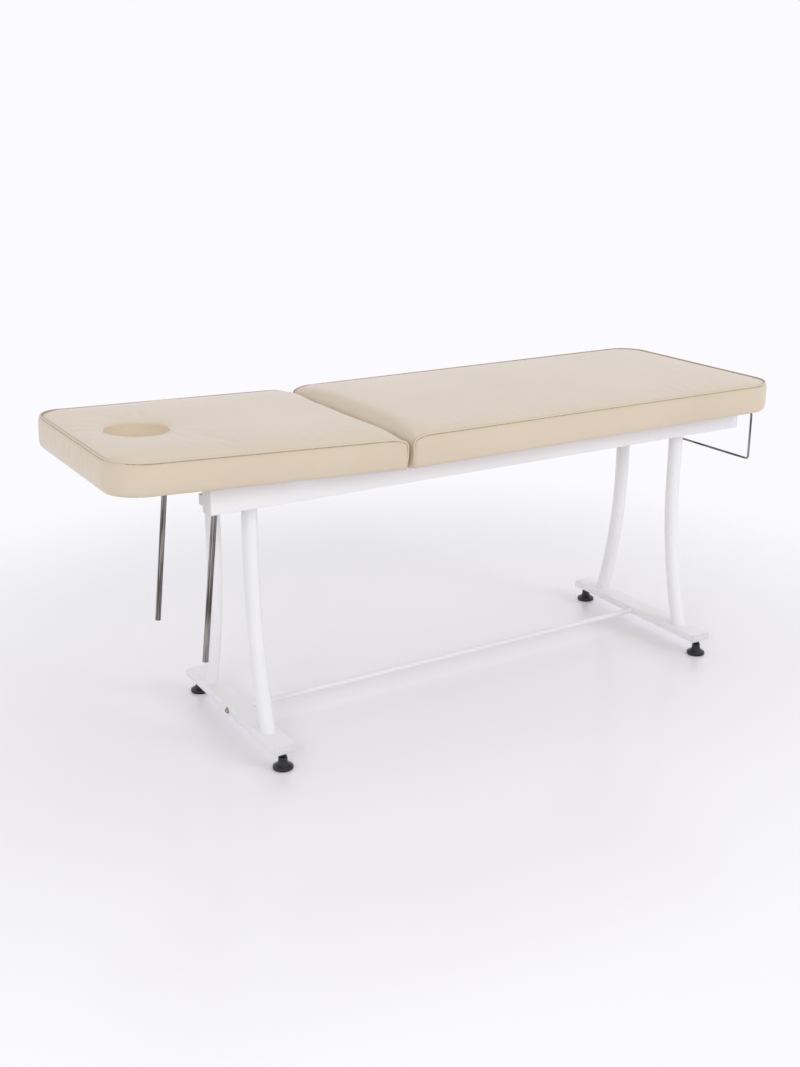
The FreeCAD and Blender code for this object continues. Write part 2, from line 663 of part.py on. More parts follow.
def support_rod(side_name, side):
    y = mirrored("rod_half_spread", side)
    eye = cylinder("tongue_radius", "tongue_thickness", "0", y + " - tongue_thickness / 2", "0", "y")
    tongue = box("rod_radius * 2", "tongue_thickness", "tongue_length", "-rod_radius",
                 y + " - tongue_thickness / 2", "-tongue_length")
    bar = cylinder("rod_radius", "rod_length - tongue_length + tongue_radius / 2", "0", y, "-rod_length")
    bore = cylinder("rod_pin_radius + running_fit", "tongue_thickness + overrun", "0",
                    y + " - (tongue_thickness + overrun) / 2", "0", "y")
    guide_x = size("guide_inset") - size("frame_half_span") - size("rail_overhang")
    pivot = Vector(guide_x + size("pivot_shift"), 0, hinge_point.z - size("pivot_drop"))
    hung = Placement(tilted.multVec(pivot), Rotation(Vector(0, 1, 0), size("rod_lean_angle")))
    node(cut(fuse(eye, tongue, bar), bore), "support_rod_" + side_name, hung)


def rod_guide(side_name, side):
    """A block on the rail's inner face with a slot that lets the rod swing as it slides."""
    inner = "rod_half_spread - slot_width / 2 - guide_wall"
    width = "rail_half_gap - (%s)" % inner
    low = inner if side > 0 else "-rail_half_gap"
    block = box("guide_length", width, "guide_height", GUIDE_X + " - guide_length / 2", low, GUIDE_LOW)
    y = mirrored("rod_half_spread", side)
    floor = GUIDE_LOW + " - overrun"
    tall = "guide_height + overrun * 2"
    half_slot = "(slot_length - slot_width) / 2"
    straight = box(half_slot + " * 2", "slot_width", tall, "%s - %s" % (GUIDE_X, half_slot),
                   y + " - slot_width / 2", floor)
    rounds = [cylinder("slot_width / 2", tall, "%s + %d * %s" % (GUIDE_X, end, half_slot), y, floor)
              for end in ENDS.values()]
    thread = along_y("lock_screw_radius + running_fit", inner + " - overrun", "guide_wall + overrun * 2",
                     GUIDE_X, GUIDE_MIDDLE, side)
    node(cut(block, fuse(straight, *rounds), thread), "rod_guide_" + side_name)


def lock_knob(side_name, side):
    tip = "rod_half_spread - slot_width / 2 - side_gap"
    start = "%s - lock_screw_reach" % tip
    screw_bar = along_y("lock_screw_radius", start, "lock_screw_reach", GUIDE_X, GUIDE_MIDDLE, side)
    node(group(screw_bar), "lock_screw_" + side_name)
    face = "%s - guide_wall - knob_length" % tip
    hub = along_y("knob_radius - knob_lobe_radius / 2", face, "knob_length", GUIDE_X, GUIDE_MIDDLE, side)
    lobes = []
    count = int(size("knob_lobes"))
    for index in range(count):
        turn = 360 * index / count
        x = "%s + (knob_radius - knob_lobe_radius) * cos(%s)" % (GUIDE_X, turn)
        z = "%s + (knob_radius - knob_lobe_radius) * sin(%s)" % (GUIDE_MIDDLE, turn)
        lobes.append(along_y("knob_lobe_radius", face, "knob_length", x, z, side))
    socket = along_y("lock_screw_radius", start, "lock_screw_reach + overrun", GUIDE_X, GUIDE_MIDDLE, side)
    node(cut(fuse(hub, *lobes), socket), "lock_knob_" + side_name)


# Paper roll holder: a wire stirrup that hangs from two clips under the foot end.
ROLL_X = RAIL_END + " - roll_inset"
CLIP_SCREW_X = ROLL_X + " - clip_screw_place"


def roll_holder():
    x = size("frame_half_span") + size("rail_overhang") - size("roll_inset")
    half = size("roll_half_width")
    top = board_bottom - size("roll_pivot_drop")
    low = top - size("roll_drop")
    end = half - size("wire_end_length")
    points = [Vector(x, -end, top), Vector(x, -half, top), Vector(x, -half, low), Vector(x, half, low),
              Vector(x, half, top), Vector(x, end, top)]
    path = rounded_path(points, [size("roll_bend")] * len(points))
    node(feature(swept(path, size("wire_radius"))), "roll_holder")


def roll_clips():
    clips = []
    screws = []
    for side in SIDES.values():
        inner = "roll_half_width - wire_end_length"
        low = inner if side > 0 else "-(%s) - clip_width" % inner
        base = BOARD_BOTTOM + " - roll_pivot_drop - clip_floor"
        body = box("clip_nose + clip_tail", "clip_width", "roll_pivot_drop + clip_floor",
                   ROLL_X + " - clip_tail", low, base)
        bore = cylinder("wire_radius + running_fit", "clip_width + overrun * 2", ROLL_X, low + " - overrun",
                        BOARD_BOTTOM + " - roll_pivot_drop", "y")
        hole = cylinder("screw_radius + running_fit", "roll_pivot_drop + clip_floor + overrun * 2",
                        CLIP_SCREW_X, clip_screw_y(side), base + " - overrun")
        clips.append(cut(body, bore, hole))
        screws.append(screw(CLIP_SCREW_X, clip_screw_y(side), base, "roll_pivot_drop + clip_floor"))
    node(group(*clips), "roll_clips")
    node(group(*screws), "clip_screws")


def clip_screw_y(side):
    return mirrored("roll_half_width - wire_end_length + clip_width / 2", side)


for end_name, end_sign in ENDS.items():
    base_bar(end_name, end_sign)
    top_bar(end_name, end_sign)
    for side_label, side_sign in SIDES.items():
        leg(end_name, end_sign, side_label, side_sign)
        levelling_foot(end_name, end_sign, side_label, side_sign)
base_bar_caps()
foot_inserts()
stretcher()
rail_caps()
cross_bars()
rest_bar()
hinge_pins()
leaf_screws("main", 1, None)
leaf_screws("head", -1, tilted)
bracket_screws()
rod_pins()
for side_label, side_sign in SIDES.items():
    rail(side_label, side_sign)
    hinge_leaf("main", side_label, side_sign, 1, None)
    hinge_leaf("head", side_label, side_sign, -1, tilted)
    rod_bracket(side_label, side_sign)
    support_rod(side_label, side_sign)
    rod_guide(side_label, side_sign)
    lock_knob(side_label, side_sign)
roll_holder()
roll_clips()

main_pilots = []
head_pilots = []
for bar_x in CROSS_BARS.values():
    for screw_share in BOARD_SCREW_SHARES:
        main_pilots.append(pilot(bar_x, "cross_bar_half_length * %s" % screw_share))
for side_sign in SIDES.values():
    main_pilots.append(pilot(CLIP_SCREW_X, clip_screw_y(side_sign)))
    for spread_sign in (-1, 1):
        main_pilots.append(pilot(leaf_screw_x(1), leaf_screw_y(side_sign, spread_sign)))
        head_pilots.append(pilot(leaf_screw_x(-1), leaf_screw_y(side_sign, spread_sign)))
        head_pilots.append(pilot(bracket_screw_x(spread_sign), mirrored("rod_half_spread", side_sign)))
doc.recompute()

# The main section runs from the hinge to the foot end. The head section is the same form turned about,
# drawn flat with the holes of its screws and then tilted about the hinge.
foot_end = size("frame_half_span") + size("rail_overhang") + size("pad_overhang")
main_length = size("hinge_reach") + foot_end
main_place = Placement(Vector(hinge_point.x, 0, 0), Rotation())
head_place = Placement(Vector(hinge_point.x, 0, 0), Rotation(Vector(0, 0, 1), 180))
section("main", main_length, size("pad_half_width"), main_place, main_pilots, None)
section("head", size("head_length"), size("head_end_half_width"), head_place, head_pilots, face_hole())
face_hole_liner(head_place)
for piece in nodes:
    if piece.Label in ("head_board", "head_cushion", "head_piping", "face_hole_liner"):
        piece.Placement = tilted.multiply(piece.Placement)

head_end = size("hinge_reach") + size("head_length")
centred = Placement(Vector((head_end - foot_end) / 2, 0, 0), Rotation())
for piece in nodes:
    piece.Placement = centred.multiply(piece.Placement)
doc.recompute()

for item in doc.Objects:
    if "Invalid" in item.State or "Error" in item.State:
        raise RuntimeError("failed object: %s %s" % (item.Name, item.State))
for piece in nodes:
    if piece.Shape.isNull() or not piece.Shape.isValid():
        raise RuntimeError("bad shape: " + piece.Label)
os.makedirs("parts", exist_ok=True)
for piece in nodes:
    piece.Shape.exportStep("parts/%s.step" % piece.Label)
    limits = piece.Shape.BoundBox
    print(piece.Label, len(piece.Shape.Solids), round(piece.Shape.Volume), [round(value, 1) for value in (
        limits.XMin, limits.XMax, limits.YMin, limits.YMax, limits.ZMin, limits.ZMax)])
print(len(nodes), "nodes")
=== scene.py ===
import json
import math
from collections import namedtuple

import bmesh
import bpy
import numpy as np
from mathutils import Matrix, Vector


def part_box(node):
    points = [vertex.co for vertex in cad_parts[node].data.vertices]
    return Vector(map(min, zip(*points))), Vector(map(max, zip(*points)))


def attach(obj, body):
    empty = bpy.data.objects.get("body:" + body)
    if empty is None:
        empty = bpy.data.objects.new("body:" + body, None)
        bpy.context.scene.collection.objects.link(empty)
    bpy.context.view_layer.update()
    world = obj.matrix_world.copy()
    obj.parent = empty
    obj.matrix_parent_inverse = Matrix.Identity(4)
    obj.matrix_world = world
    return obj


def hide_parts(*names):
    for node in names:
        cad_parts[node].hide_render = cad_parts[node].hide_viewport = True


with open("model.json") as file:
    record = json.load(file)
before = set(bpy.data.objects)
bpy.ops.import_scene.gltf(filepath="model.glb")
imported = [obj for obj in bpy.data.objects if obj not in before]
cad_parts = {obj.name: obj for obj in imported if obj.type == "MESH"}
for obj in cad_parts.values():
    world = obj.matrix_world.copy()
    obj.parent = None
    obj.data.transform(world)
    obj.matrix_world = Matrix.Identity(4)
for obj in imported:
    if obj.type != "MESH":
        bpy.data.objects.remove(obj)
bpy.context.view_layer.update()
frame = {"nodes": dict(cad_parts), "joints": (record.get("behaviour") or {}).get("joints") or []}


# Levelling feet: four black moulded pads with a fluted rim, each on a blackened steel stud that screws
# into the base bar. A hexagon jam nut on the stud locks the height.
class Socket:
    """One output of a shader node. Sums and products of it add Math nodes to its material."""

    def __init__(self, tree, output=None):
        self.tree = tree
        self.output = output

    def node(self, kind, settings=None, out=0, **sockets):
        """Add a node: its settings first, then the values or links of its sockets.

        A socket goes by its name with underscores for spaces, or by the letter i and its number.
        """
        made = self.tree.nodes.new("ShaderNode" + kind)
        for name, value in (settings or {}).items():
            setattr(made, name, value)
        for name, value in sockets.items():
            by_number = name[0] == "i" and name[1:].isdigit()
            socket = made.inputs[int(name[1:]) if by_number else name.replace("_", " ")]
            if isinstance(value, Socket):
                self.tree.links.new(value.output, socket)
            else:
                socket.default_value = value
        return Socket(self.tree, made.outputs[out] if len(made.outputs) else None)

    def math(self, operation, first, second):
        """A Math node on two values."""
        return self.node("Math", {"operation": operation}, i0=first, i1=second)

    def mix(self, low, high):
        """A colour between two, with this value as the share of the second."""
        low = low if isinstance(low, Socket) else (*low, 1)
        high = high if isinstance(high, Socket) else (*high, 1)
        return self.node("Mix", {"data_type": "RGBA"}, out=2, i0=self, i6=low, i7=high)

    def band(self, start, end):
        """0 below start and 1 above end, with a soft slope between."""
        return self.node("MapRange", {"interpolation_type": "SMOOTHSTEP"}, i0=self, i1=start, i2=end)

    def __add__(self, other):
        return self.math("ADD", self, other)

    def __radd__(self, other):
        return self.math("ADD", other, self)

    def __mul__(self, other):
        return self.math("MULTIPLY", self, other)

    def __rmul__(self, other):
        return self.math("MULTIPLY", other, self)


def open_finish(name):
    """A new material, with the coordinates of the piece that wears it."""
    material = bpy.data.materials.new(name)
    material.use_nodes = True
    material.node_tree.nodes.clear()
    return material, Socket(material.node_tree).node("TexCoord", out="Object")


def noise(place, scale, stretch=(1, 1, 1), detail=2.0):
    """Soft noise with its grain drawn out along an axis where stretch is small."""
    drawn = place.node("Mapping", Vector=place, Scale=stretch)
    return place.node("TexNoise", Vector=drawn, Scale=scale, Detail=detail)


def close_finish(material, place, relief, depth, **sockets):
    """Join colour, roughness and relief to the surface."""
    bump = place.node("Bump", Strength=1.0, Distance=depth, Height=relief)
    shader = place.node("BsdfPrincipled", Normal=bump, **sockets)
    place.node("OutputMaterial", Surface=shader)
    return material


def moulded_black():
    """Black moulded plastic: fine spark-eroded texture and a little dust."""
    material, place = open_finish("moulded_black")
    speckle = noise(place, 2600, detail=3)
    cloud = noise(place, 45)
    colour = (cloud.band(0.35, 0.75) * 0.5).mix((0.006, 0.006, 0.007), (0.018, 0.018, 0.019))
    return close_finish(material, place, speckle, 0.00006, Base_Color=colour,
                        Roughness=0.16 + cloud * 0.16)


def blackened_steel():
    """Chemically blackened steel of the studs and nuts."""
    material, place = open_finish("blackened_steel")
    cloud = noise(place, 120, detail=4)
    colour = cloud.mix((0.02, 0.02, 0.022), (0.065, 0.064, 0.062))
    return close_finish(material, place, cloud, 0.00008, Base_Color=colour, Metallic=0.85,
                        Roughness=0.38 + cloud * 0.2)


def begin(name, primitive, **sizes):
    """Add one primitive with nothing else selected."""
    if bpy.context.object and bpy.context.object.mode != "OBJECT":
        bpy.ops.object.mode_set(mode="OBJECT")
    bpy.ops.object.select_all(action="DESELECT")
    primitive(**sizes)
    piece = bpy.context.object
    piece.name = piece.data.name = name
    return piece


def close_edit():
    """Turn all faces outwards and leave edit mode."""
    bpy.ops.mesh.select_all(action="SELECT")
    bpy.ops.mesh.normals_make_consistent(inside=False)
    bpy.ops.object.mode_set(mode="OBJECT")


def turned(name, profile, sides):
    """A round piece raised ring by ring about the Z axis from pairs of radius and height."""
    piece = begin(name, bpy.ops.mesh.primitive_circle_add, vertices=sides, radius=profile[0][0],
                  fill_type="NGON", location=(0, 0, profile[0][1]))
    bpy.ops.object.mode_set(mode="EDIT")
    bpy.ops.mesh.select_all(action="SELECT")
    for (radius, height), (next_radius, next_height) in zip(profile, profile[1:]):
        share = next_radius / radius
        bpy.ops.mesh.extrude_region_move(TRANSFORM_OT_translate={"value": (0, 0, next_height - height)})
        bpy.ops.transform.resize(value=(share, share, 1), center_override=(0, 0, next_height))
    close_edit()
    bpy.ops.object.transform_apply(location=True, rotation=True, scale=True)
    return piece


def copy_to(piece, name, matrix):
    """A copy of a mesh under its own name, moved into place."""
    twin = piece.copy()
    twin.data = piece.data.copy()
    twin.name = twin.data.name = name
    twin.data.transform(matrix)
    bpy.context.collection.objects.link(twin)
    return twin


def join(*pieces):
    """Several meshes as one piece, under the first one's name."""
    bpy.ops.object.select_all(action="DESELECT")
    for piece in pieces:
        piece.select_set(True)
    bpy.context.view_layer.objects.active = pieces[0]
    bpy.ops.object.join()
    return pieces[0]


def pick(piece):
    """Select one piece alone and make it the active one."""
    bpy.ops.object.select_all(action="DESELECT")
    piece.select_set(True)
    bpy.context.view_layer.objects.active = piece


def fit(piece, material, slot, body, *stands_for, smooth_angle=35):
    """Finish a new piece: shading, material, the nodes it stands for and the body it rides on. The slot is
    not used.
    """
    pick(piece)
    bpy.ops.object.transform_apply(location=True, rotation=True, scale=True)
    bpy.ops.object.shade_smooth_by_angle(angle=math.radians(smooth_angle))
    piece.data.materials.clear()
    piece.data.materials.append(material)
    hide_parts(*stands_for)
    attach(piece, body)


MOULDED_BLACK = moulded_black()
BLACKENED_STEEL = blackened_steel()
ENDS = ("head", "foot")
SIDES = ("near", "far")
CORNERS = [end + "_" + side for end in ENDS for side in SIDES]
FOOT_PROFILE_SHARES = ((0.9, 0), (0.97, 0.02), (1, 0.07), (1, 0.2), (0.97, 0.26), (0.9, 0.3), (0.78, 0.35),
                       (0.64, 0.42), (0.53, 0.51), (0.47, 0.62), (0.45, 0.76), (0.45, 0.94), (0.4, 1))
FOOT_FLUTES = 24
FLUTE_SEGMENTS = 6
FLUTE_START = -0.3
FLUTE_DEPTH_SHARE = 0.03
RIM_SHARE = 0.95
low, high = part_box("foot_pad_head_near")
foot_radius = (high.x - low.x) / 2
foot_height = high.z - low.z
foot_profile = [(r * foot_radius, z * foot_height) for r, z in FOOT_PROFILE_SHARES]
foot_pad = turned("foot_pad", foot_profile, FOOT_FLUTES * FLUTE_SEGMENTS)
for vertex in foot_pad.data.vertices:
    on_rim = vertex.co.xy.length > RIM_SHARE * foot_radius
    if on_rim and math.cos(FOOT_FLUTES * math.atan2(vertex.co.y, vertex.co.x)) < FLUTE_START:
        vertex.co.xy *= 1 - FLUTE_DEPTH_SHARE

STUD_RADIUS = 0.005
STUD_SIDES = 24
THREAD_PITCH = 0.0015
THREAD_DEPTH = 0.0007
stud_low, stud_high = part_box("foot_stud_head_near")
thread = []
height = 0.0
while height < stud_high.z - stud_low.z - THREAD_PITCH:
    thread += [(STUD_RADIUS - THREAD_DEPTH, height), (STUD_RADIUS, height + THREAD_PITCH / 2)]
    height += THREAD_PITCH
stud = turned("stud", thread, STUD_SIDES)

NUT_TOP = 0.0437
NUT_HEIGHT = 0.011
NUT_CHAMFER = 0.0012
NUT_SIDES = 6
nut_radius = (stud_high.x - stud_low.x) / 2
nut_low = NUT_TOP - NUT_HEIGHT - stud_low.z
nut_profile = [(nut_radius - NUT_CHAMFER, nut_low), (nut_radius, nut_low + NUT_CHAMFER / 2),
               (nut_radius, nut_low + NUT_HEIGHT - NUT_CHAMFER / 2),
               (nut_radius - NUT_CHAMFER, nut_low + NUT_HEIGHT)]
stud = join(stud, turned("nut", nut_profile, NUT_SIDES))
for corner in CORNERS:
    low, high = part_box("foot_pad_" + corner)
    spot = Vector(((low.x + high.x) / 2, (low.y + high.y) / 2, low.z))
    fit(copy_to(foot_pad, "levelling_pad_" + corner, Matrix.Translation(spot)), MOULDED_BLACK,
        "black_plastic", "foot_" + corner, "foot_pad_" + corner)
    spot.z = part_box("foot_stud_" + corner)[0].z
    fit(copy_to(stud, "levelling_stud_" + corner, Matrix.Translation(spot)), BLACKENED_STEEL,
        "black_steel", "foot_" + corner, "foot_stud_" + corner)
bpy.data.objects.remove(foot_pad)
bpy.data.objects.remove(stud)


# Base bars, top bars and rails: rectangular steel tube with rolled corners, welded and powder coated
# white. Moulded caps close the open ends of the base bars and rails.
def powder_coat():
    """White powder coat: faint orange peel, a soft gloss and a hint of handling on it."""
    material, place = open_finish("powder_coat")
    peel = noise(place, 420, detail=1)
    cloud = noise(place, 5, detail=3)
    colour = cloud.band(0.3, 0.75).mix((0.89, 0.89, 0.905), (0.86, 0.862, 0.88))
    return close_finish(material, place, peel, 0.00018, Base_Color=colour, Roughness=0.3 + cloud * 0.1,
                        Coat_Weight=0.25, Coat_Roughness=0.18)


def moulded_white():
    """White moulded plastic of caps, guides and clips."""
    material, place = open_finish("moulded_white")
    speckle = noise(place, 1900, detail=2)
    cloud = noise(place, 30)
    colour = cloud.mix((0.77, 0.77, 0.775), (0.71, 0.71, 0.72))
    return close_finish(material, place, speckle, 0.0001, Base_Color=colour, Roughness=0.42 + cloud * 0.12)


POWDER_COAT = powder_coat()
MOULDED_WHITE = moulded_white()
ALONG = 0
ACROSS = 1
TUBE_CORNER = 0.0032
TUBE_SEGMENTS = 4
CAP_CORNER = 0.0012
CAP_SEGMENTS = 3
CAP_THICKNESS = 0.003


def choose_edges(piece, wanted):
    """Select the edges in edit mode whose two ends pass a test."""
    bpy.ops.mesh.select_mode(type="EDGE")
    mesh = bmesh.from_edit_mesh(piece.data)
    for edge in mesh.edges:
        edge.select_set(wanted(edge.verts[0].co, edge.verts[1].co))
    mesh.select_flush_mode()
    bmesh.update_edit_mesh(piece.data)


def block(name, low, high):
    """A block between two corners, in edit mode, with its place in its mesh."""
    piece = begin(name, bpy.ops.mesh.primitive_cube_add, size=1, location=(low + high) / 2)
    piece.scale = high - low
    bpy.ops.object.transform_apply(location=True, rotation=True, scale=True)
    bpy.ops.object.mode_set(mode="EDIT")
    return piece


def tube(name, node, axis):
    """A rectangular tube in place of a node that lies along one axis, with rolled corners."""
    low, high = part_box(node)
    piece = block(name, low, high)
    choose_edges(piece, lambda a, b: abs(a[axis] - b[axis]) > abs(high[axis] - low[axis]) / 2)
    bpy.ops.mesh.bevel(offset=TUBE_CORNER, segments=TUBE_SEGMENTS, affect="EDGES")
    bpy.ops.object.mode_set(mode="OBJECT")
    fit(piece, POWDER_COAT, "white_paint", "frame", node)


def soft_block(name, low, high, corner, segments):
    """A block with all its edges rounded."""
    piece = block(name, low, high)
    bpy.ops.mesh.select_all(action="SELECT")
    bpy.ops.mesh.bevel(offset=corner, segments=segments, affect="EDGES")
    bpy.ops.object.mode_set(mode="OBJECT")
    return piece


def end_caps(name, axis, *tubes):
    """Caps on both ends of tubes that lie along one axis, as one piece."""
    caps = []
    for node in tubes:
        low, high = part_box(node)
        ends = ((low[axis] - CAP_THICKNESS, low[axis]), (high[axis], high[axis] + CAP_THICKNESS))
        for start, finish in ends:
            cap_low = Vector(low)
            cap_high = Vector(high)
            cap_low[axis] = start
            cap_high[axis] = finish
            caps.append(soft_block(name, cap_low, cap_high, CAP_CORNER, CAP_SEGMENTS))
    return join(*caps)


for end in ENDS:
    tube("floor_tube_" + end, "base_bar_" + end, ACROSS)
    tube("cross_tube_" + end, "top_bar_" + end, ACROSS)
for side in SIDES:
    tube("rail_tube_" + side, "rail_" + side, ALONG)
fit(end_caps("floor_tube_caps", ACROSS, *["base_bar_" + end for end in ENDS]), MOULDED_WHITE, "white_plastic",
    "frame", "base_bar_caps")
fit(end_caps("rail_tube_caps", ALONG, *["rail_" + side for side in SIDES]), MOULDED_WHITE, "white_plastic",
    "frame", "rail_end_caps")


# Legs: round tubes that drop straight from the top bars and bow outwards to the base bars. A rippled weld
# bead runs round each end under the paint.
nodes = frame["nodes"]


def dress(material, *names):
    """Give CAD nodes that keep their shape their finish."""
    for name in names:
        nodes[name].data.materials.clear()
        nodes[name].data.materials.append(material)


WELD_RADIUS = 0.0024
WELD_SEGMENTS = 136
WELD_SIDES = 10
WELD_RIPPLES = 34
WELD_RIPPLE_SHARE = 0.03
dress(POWDER_COAT, *["leg_" + corner for corner in CORNERS])
beads = []
for corner in CORNERS:
    low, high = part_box("leg_" + corner)
    leg_radius = (high.x - low.x) / 2
    foot_y = low.y + leg_radius
    top_y = high.y - leg_radius
    if corner.endswith("far"):
        foot_y, top_y = top_y, foot_y
    for y, z in ((foot_y, low.z), (top_y, high.z)):
        bead = begin("leg_welds", bpy.ops.mesh.primitive_torus_add, major_radius=leg_radius,
                     minor_radius=WELD_RADIUS, major_segments=WELD_SEGMENTS, minor_segments=WELD_SIDES)
        for vertex in bead.data.vertices:
            turn = math.atan2(vertex.co.y, vertex.co.x)
            vertex.co.xy *= 1 + WELD_RIPPLE_SHARE * abs(math.sin(WELD_RIPPLES / 2 * turn))
        bead.data.transform(Matrix.Translation(((low.x + high.x) / 2, y, z)))
        beads.append(bead)
fit(join(*beads), POWDER_COAT, "white_paint", "frame")


# Stretcher: a thin white tube between the base bars, drawn tight by a polished button-head bolt with a washer
# in each bar. Threaded plugs in the tube's ends take the bolts.
def zinc_plate():
    """Zinc-plated steel of hinges, brackets and screws: dull, spangled and a touch blue."""
    material, place = open_finish("zinc_plate")
    spangle = noise(place, 260, detail=4)
    colour = spangle.mix((0.47, 0.48, 0.50), (0.66, 0.665, 0.67))
    return close_finish(material, place, spangle, 0.00004, Base_Color=colour, Metallic=1.0,
                        Roughness=0.3 + spangle * 0.16)


def polished_steel(name, draw, lean=0.0, dark=(0.075, 0.062, 0.058), bright=(0.36, 0.33, 0.315)):
    """Polished steel with fine dark lines, drawn out along the piece and leaning with it."""
    material, place = open_finish(name)
    along = place.node("Mapping", {"vector_type": "TEXTURE"}, Vector=place, Rotation=(0, lean, 0), Scale=draw)
    lines = place.node("TexNoise", Vector=along, Scale=520.0, Detail=2.0)
    cloud = noise(place, 25)
    colour = lines.band(0.38, 0.62).mix(dark, bright)
    return close_finish(material, place, lines, 0.00003, Base_Color=colour, Metallic=1.0,
                        Roughness=0.12 + cloud * 0.1)


ZINC_PLATE = zinc_plate()
BOLT_STEEL = polished_steel("bolt_steel", (1, 1, 1), dark=(0.25, 0.165, 0.13), bright=(0.72, 0.60, 0.54))
BOLT_PROFILE_SHARES = ((1.25, 0), (1.25, 0.2), (1, 0.22), (1, 0.45), (0.94, 0.7), (0.8, 0.9), (0.6, 1),
                       (0.42, 1), (0.4, 0.5), (0.3, 0.48))
BOLT_SIDES = 48
dress(POWDER_COAT, "stretcher")
dress(ZINC_PLATE, "stretcher_plugs", "foot_inserts")
low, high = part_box("stretcher_bolts")
head_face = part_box("base_bar_head")[0].x
foot_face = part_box("base_bar_foot")[1].x
bolt_radius = (high.z - low.z) / 2
bolt_height = head_face - low.x
bolt_z = (low.z + high.z) / 2
bolt = turned("bolt", [(r * bolt_radius, z * bolt_height) for r, z in BOLT_PROFILE_SHARES], BOLT_SIDES)
bolts = []
for x, sign in ((head_face, -1), (foot_face, 1)):
    outward = Matrix.Translation((x, 0, bolt_z)) @ Matrix.Rotation(sign * math.pi / 2, 4, "Y")
    bolts.append(copy_to(bolt, "bolt_heads", outward))
bpy.data.objects.remove(bolt)
fit(join(*bolts), BOLT_STEEL, "chrome", "frame", "stretcher_bolts")


# Cross bars: flat white bars on the rails that carry the main board, and a thinner one with rubber
# bumpers that the head section comes down on.
def soft_rubber():
    """Matt black rubber."""
    material, place = open_finish("soft_rubber")
    cloud = noise(place, 300, detail=4)
    colour = cloud.mix((0.02, 0.02, 0.02), (0.045, 0.045, 0.045))
    return close_finish(material, place, cloud, 0.0001, Base_Color=colour, Roughness=0.72 + cloud * 0.15)


SOFT_RUBBER = soft_rubber()
dress(POWDER_COAT, "cross_bar_joint", "cross_bar_middle", "cross_bar_foot", "head_rest_bar")
dress(SOFT_RUBBER, "rest_bumpers")


# Boards: birch plywood under each cushion, left raw below, with its layers showing along the cut edge. Screws
# through the cross bars hold the main board.
LAYER_WAVE = 1500


def plywood():
    """Raw plywood: long grain on the faces and stacked layers on the edges."""
    material, place = open_finish("plywood")
    grain = noise(place, 60, (0.06, 1, 1), 6)
    fleck = noise(place, 400, (0.04, 1, 1), 2)
    face = (grain * 0.7 + fleck * 0.3).mix((0.50, 0.35, 0.20), (0.72, 0.56, 0.37))
    height = place.node("SeparateXYZ", out="Z", Vector=place)
    layers = place.node("Math", {"operation": "SINE"}, i0=height * LAYER_WAVE).band(-0.2, 0.2)
    edge = layers.mix((0.36, 0.24, 0.13), (0.62, 0.46, 0.29))
    normal = place.node("TexCoord", out="Normal")
    upright = place.node("SeparateXYZ", out="Z", Vector=normal)
    lying = place.node("Math", {"operation": "ABSOLUTE"}, i0=upright)
    colour = lying.band(0.4, 0.6).mix(edge, face)
    return close_finish(material, place, grain, 0.0002, Base_Color=colour, Roughness=0.62 + grain * 0.2)


PLYWOOD = plywood()
dress(PLYWOOD, "main_board", "head_board")
dress(ZINC_PLATE, "main_board_screws")


# Hinges: two pairs of tall zinc-plated leaves that stand in the gap between the sections, on steel pins,
# screwed up into the boards.
dress(ZINC_PLATE, "hinge_pins", "hinge_screws_main", "hinge_screws_head")
dress(ZINC_PLATE, *["hinge_leaf_%s_%s" % (name, side) for name in ("main", "head") for side in SIDES])


# Cushions: blocks of foam under a cream leatherette cover, sewn with a boxed side band. The hinge ends roll
# over, and the free ends have round corners. Air pressure stands in for the foam that fills the cover, and
# a liner of the same leatherette with a rolled lip sits in the face hole.
def leatherette():
    """Cream coated fabric: fine pebble grain and a soft sheen.

    The seam attribute paints shade into the crease along the seam; the liner's attribute paints light inside
    the face hole, paler deeper down.
    """
    material, place = open_finish("leatherette")
    pebble = place.node("TexVoronoi", {"feature": "SMOOTH_F1"}, Vector=place, Scale=820.0)
    fold = noise(place, 38, detail=3)
    cloud = noise(place, 2.6, detail=3)
    seam = place.node("Attribute", {"attribute_name": "seam"}, out="Fac")
    # Painted light: the liner's attribute turns the colour paler deeper in the face hole.
    painted_hole_light = place.node("Attribute", {"attribute_name": "painted_hole_light"}, out="Fac")
    cream = cloud.band(0.3, 0.7).mix((0.690, 0.584, 0.446), (0.658, 0.552, 0.418))
    # Painted shade: the colour darkens towards the seam, in the crease under the piping.
    cream_with_seam_shade = (seam * 0.3).mix(cream, (0.40, 0.31, 0.21))
    colour = painted_hole_light.mix(cream_with_seam_shade, (0.82, 0.715, 0.51))
    relief = pebble * 0.55 + fold * 0.45
    return close_finish(material, place, relief, 0.00022, Base_Color=colour, Roughness=0.27 + fold * 0.12,
                        Coat_Weight=0.2, Coat_Roughness=0.22, Sheen_Weight=0.08)


LEATHERETTE = leatherette()
tilt_joint = next(joint for joint in frame["joints"] if joint["name"] == "head_tilt")
hinge = Vector(tilt_joint["pos_m"])
rest_tilt = math.radians(-tilt_joint["range_deg"][0])

PIPING_RADIUS = 0.003
HALF_GAP = 0.006
FALL_RUN = 0.050
FALL_DROP = 0.023
FALL_TURN = math.radians(70)
FALL_STEPS = 14
MAIN_SHOULDER = 0.0045
HEAD_LENGTH = 0.696
HEAD_END_HALF_WIDTH = 0.282
CORNER_RADIUS = 0.078
CORNER_SEGMENTS = 18
SIDE_EASE = 0.003
END_EASE = 0.005
seam_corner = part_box("main_piping")[1]
main_length = seam_corner.x - PIPING_RADIUS - hinge.x
pad_half_width = seam_corner.y - PIPING_RADIUS
seam_height = seam_corner.z - PIPING_RADIUS
pad_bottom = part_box("main_board")[0].z

